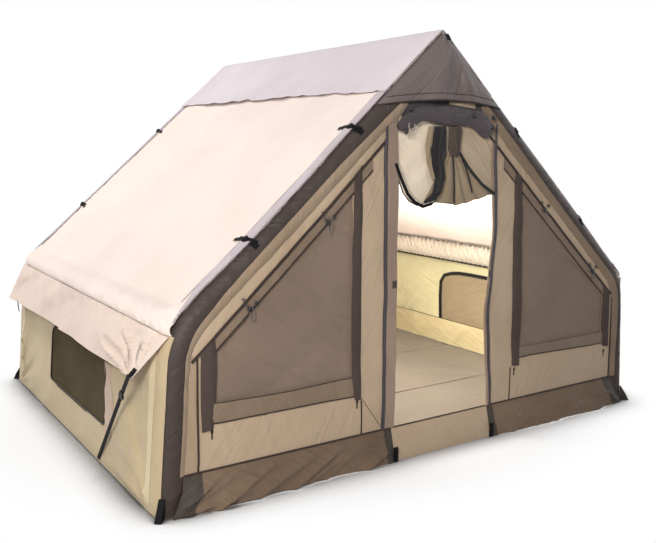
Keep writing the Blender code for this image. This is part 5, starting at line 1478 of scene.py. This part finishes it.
roll = cloth("door_mesh_roll", (0.30, 0.62), 0.004, roll_lay, from_roll, roll_mesh, thickness=0)
del roll["area"]
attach(roll, "tent")
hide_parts("door_roll")
for number, (x, z, lean) in enumerate(((-0.245, 1.632, 0.006), (-0.262, 1.533, 0.0), (0.150, 1.612, -0.006),
                                       (0.262, 1.560, 0.004), (0.268, 1.607, 0.0))):
    bead(f"roll_toggle_{number}", (x + lean, -WALL_Y - 0.046, z), (0.010, 0.007, 0.013))
loop = [(-0.222 + 0.020 * math.sin(a) - 0.012 * math.cos(a), -WALL_Y - 0.040, 1.548 + 0.030 * math.cos(a))
        for a in np.linspace(0, math.tau, 20, endpoint=False)]
white_cord = woven("pale_elastic_cord", "#C9C4BC", "#B5AFA8", thread=0.0016, weave=0.0004, crumple=0.0005)
piping("roll_cord_loop", loop, 0.0020, white_cord, closed=True)
heading = [[(x, z) for x in (-half, half)] for half, z in ((0.262, 1.600), (0.205, 1.690))]
band("door_roll_heading", *heading, 0.0006, roll_mesh, 0.095, wave=0.002, slot="sleeve_fabric")
band("hood_lining_edge", ((0.02, 1.662), (0.185, 1.6455)), ((0.02, 1.690), (0.185, 1.690)), 0.0060, front_canvas,
     0.026)


# Canvas door, hung up behind the gable panel. Its pale inner face shows at both sides, and its brown outer face
# fans out from a tie in folds; dark binding runs round its edges, and a webbing loop holds its left side.
drape_canvas = woven("pale_door_canvas", "#FAEEDB", "#F0E1CB", crumple=0.005)
fan_canvas = woven("brown_door_canvas", "#9B8B75", "#857662", crumple=0.002)
DRAPE_EDGE = ((-0.283, -0.261, -0.23, -0.194, -0.146, -0.09, -0.03, 0.08, 0.15, 0.23, 0.335),
              (1.392, 1.322, 1.255, 1.218, 1.196, 1.206, 1.208, 1.196, 1.208, 1.220, 1.242))


def drape_lay(across, down):
    x = -0.283 + 0.616 * across
    top = np.minimum(head + 0.020, SLEEVE_PEAK + 0.03 - np.abs(x) * math.tan(SLOPE))
    low = np.interp(x, *DRAPE_EDGE)
    z = top + (low - top) * down
    fan = np.arctan2(x - 0.06, np.maximum(1.50 - z, 0.02))
    fold = 0.010 * crease(fan / 0.30, 0.4, 6.0) * fade(z, 1.48, 1.25)
    fold += 0.005 * swell((x - z) / 0.08, (x + z) / 0.3, 4.0) + 0.006
    return x, -WALL_Y + CANVAS + 0.0008 + np.maximum(fold, 0) * fade(down, 0, 0.15), z


sheet("door_canvas_drape", (0.63, 0.43), 0.006, drape_lay, FRONT, drape_canvas, "gathered", pattern=(0, 2),
      cad=["door_drape"], rests_on=["front_gable_top"])
piping("drape_edge_binding", [(x, -WALL_Y + CANVAS + 0.006, z + 0.002) for x, z in zip(*DRAPE_EDGE)], 0.0030,
       seam_thread)
tan_canvas = woven("tan_door_canvas", "#C2B199", "#B4A28B", crumple=0.003, drag=(-48, 0.070, 0.0060))


def side_panel_lay(across, down):
    x = 0.060 + 0.272 * across
    top = np.minimum(head + 0.004, SLEEVE_PEAK + 0.028 - np.abs(x) * math.tan(SLOPE))
    low = np.interp(x, (0.06, 0.118, 0.160, 0.240, 0.332), (1.448, 1.400, 1.352, 1.285, 1.240))
    z = top + (low - top) * down
    return x, -WALL_Y - 0.0012 + 0.004 * fade(down, 0.1, 0) + 0.003 * swell((x + z) / 0.07, x / 0.2, 3.0), z


sheet("door_canvas_side", (0.272, 0.362), 0.007, side_panel_lay, FRONT, tan_canvas, "hung", pattern=(0, 2))
FAN_TOP = ((0.025, 1.440), (0.095, 1.440))
FAN_EDGE = ((-0.115, 1.215), (-0.07, 1.222), (-0.028, 1.206), (0.03, 1.207), (0.08, 1.189), (0.115, 1.202),
            (0.150, 1.198), (0.19, 1.216), (0.229, 1.215), (0.28, 1.236), (0.326, 1.236))


def fan_lay(across, down):
    x, z = between(FAN_TOP, FAN_EDGE, across, down)
    pleat = np.abs(np.sin(across * math.pi * 5.0)) * 0.016 * (0.35 + 0.65 * down)
    return x, -WALL_Y - 0.001 - pleat + 0.002 * swell(across * 6, down * 4, 3.0), z


sheet("door_canvas_fan", (0.50, 0.29), 0.005, fan_lay, FRONT, fan_canvas, "gathered")
for number, (route, width) in enumerate((
        (((0.082, 1.440), (0.118, 1.398), (0.160, 1.352), (0.240, 1.285), (0.322, 1.240)), 0.016),
        (((0.100, 1.410), (0.125, 1.370), (0.149, 1.320), (0.172, 1.250)), 0.008),
        (((0.040, 1.430), (0.050, 1.36), (0.055, 1.29), (0.058, 1.205)), 0.008))):
    ribbon(f"fan_binding_{number}", [(x, -WALL_Y - 0.0195, z) for x, z in route], width, FRONT, cover_zip)


def hanging(name, left, right, width, pleats, out, finish, seed):
    """A bundle of the door's cloth hanging in pleats between two lines."""
    def lay(across, down):
        x, z = between(left, right, down, across)
        bulge = 0.014 * np.sin(math.pi * across) ** 0.6
        fold = 0.008 * crease(across * pleats + swell(down * 3, across, seed), down * 1.6, seed)
        return x, -WALL_Y - out - bulge - fold, z

    sheet(name, (width, run_length(left)), 0.004, lay, FRONT, finish, "gathered", "sleeve_fabric")


black_mesh = woven("black_door_mesh", "#1F1C1E", "#151316", thread=0.0035, weave=0.0004, roughness=0.6, crumple=0.004)
hanging("door_canvas_lip", ((-0.108, 1.560), (-0.122, 1.470), (-0.112, 1.39), (-0.084, 1.32)),
        ((-0.068, 1.560), (-0.096, 1.452), (-0.090, 1.384), (-0.064, 1.315)), 0.05, 2, 0.010, fan_canvas, 9.0)
hanging("door_mesh_tail",
        ((-0.077, 1.560), (-0.102, 1.452), (-0.096, 1.384), (-0.068, 1.315), (-0.082, 1.256), (-0.135, 1.214)),
        ((-0.004, 1.560), (-0.007, 1.475), (-0.016, 1.384), (-0.007, 1.324), (-0.030, 1.259), (-0.086, 1.203)),
        0.11, 5, 0.018, black_mesh, 3.0)
hanging("door_mesh_block", ((0.008, 1.560), (0.010, 1.50), (0.006, 1.46), (0.020, 1.425)),
        ((0.086, 1.560), (0.086, 1.50), (0.084, 1.455), (0.060, 1.428)), 0.11, 4, 0.018, grey_facing, 6.0)
LOOP = ((-0.286, 1.392), (-0.262, 1.322), (-0.231, 1.255), (-0.194, 1.216), (-0.148, 1.196), (-0.095, 1.207),
        (-0.060, 1.240), (-0.040, 1.285))
loop = [(x, -WALL_Y - 0.006 - 0.03 * math.sin(math.pi * i / 8), z) for i, (x, z) in enumerate(LOOP)]
ribbon("door_loop_strap", loop, 0.016, FRONT)
piping("door_loop_edge", [(x + 0.010, y - 0.002, z + 0.011) for x, y, z in loop[:7]], 0.0018, white_cord)


# Hems and stitching: a bound hem and two tabs on the hood, and at the roof's front and rear edges a hem strip,
# its edge cord and a line of stitching behind it. The strip is partly the hem and partly painted light: its lavender
# grey stands for the shade on the band that turns to the front over the sleeve, and for the sleeve's sheen there.
stitch = woven("lavender_stitching", "#A79CA6", "#8F858F", thread=0.0020, weave=0.0004, roughness=0.7, crumple=0.0005)
# Painted light: the hem strip's lavender grey stands for shade on the front-turned band and for the sleeve's sheen.
hem_painted_shade_and_sheen = woven("pale_hem_painted_shade_and_sheen", "#BDB3BA", "#A39AA2", roughness=0.5, crumple=0.002, specular=0.5,
                      drag=(8, 0.012, 0.0020))
piping("hood_hem_piping", on_sheet(hood_lay, np.linspace(0, 1, 41), 0) + (0, -0.001, 0.001), 0.0040,
       sleeve_polyester)
piping("hood_hem_stitching", on_sheet(hood_lay, np.linspace(0.015, 0.985, 41), 0.11) + (0, -0.001, 0), 0.0016,
       seam_thread)
ribbon("hood_hem_tab", [(-0.030, -WALL_Y - 0.028, 1.675), (-0.010, -WALL_Y - 0.031, 1.679),
                        (0.012, -WALL_Y - 0.031, 1.679)], 0.013, (0, -1, 0.1))
ribbon("apex_tab", on_sheet(hood_lay, 0.5, (1.0, 0.97, 0.94, 0.90)) + (0, -0.006, 0.003), 0.024, (0, -0.8, 0.6))


def on_roof(side, y, down, out):
    """Points on the roof sheet, over the arch sleeves too."""
    y, over = over_sleeve(y, ROOF_WRAP)
    x, z = roof_point(down, out - ROOF_WRAP * (1 - np.cos(over)))
    return np.stack([side * x, y, z], axis=1)


def hem_lay(side, end):
    def lay(along, across):
        down = CAP_DEPTH - 0.02 + (roof_straight + 0.02 - CAP_DEPTH) * along
        reach = ARCH_Y + ROOF_WRAP * hem_turn(down) - 0.050 * (1 - across) * (0.15 + 0.85 * fade(along, 1.0, 0.84))
        out = 0.0045 + 0.0022 * crease(down / 0.16 + across, across * 4 + down * 2, 3.0 + end)
        return on_roof(side, end * reach, down, out).T
    return lay


for side_name, side in SIDES:
    for end_name, end in ENDS:
        name = f"{end_name}_{side_name}_roof_"
        sheet(name + "hem_strip", (roof_straight + 0.02 - CAP_DEPTH, 0.051), 0.006, hem_lay(side, end),
              (-side * 0.67, 0, 0.75), hem_painted_shade_and_sheen, slot="roof_canvas")
        downs = np.linspace(CAP_DEPTH + 0.01, roof_straight - 0.10, 66)
        reach = ARCH_Y + ROOF_WRAP * hem_turn(downs) - 0.052 + 0.004 * swell(downs / 0.3, end, 2.0)
        piping(name + "stitching", on_roof(side, end * reach, downs, 0.0042), 0.0016, stitch)
        downs = np.linspace(0.38, roof_straight, 80)
        reach = ARCH_Y + ROOF_WRAP * hem_turn(downs) - 0.001
        piping(name + "hem", on_roof(side, end * reach, downs, 0.0030), 0.0026, stitch)


# Valve and bladders: the white nylon inflation valve in the rear right sleeve, and the film tubes it fills.
film = hard("polyurethane_film", "#D5D8DA", 0.35)
for name in ("front_arch", "rear_arch", "ridge", "left_eave", "right_eave"):
    finish_node(name + "_bladder", film)
for name in ("valve_body", "valve_button", "valve_cap"):
    finish_node(name, white_plastic)
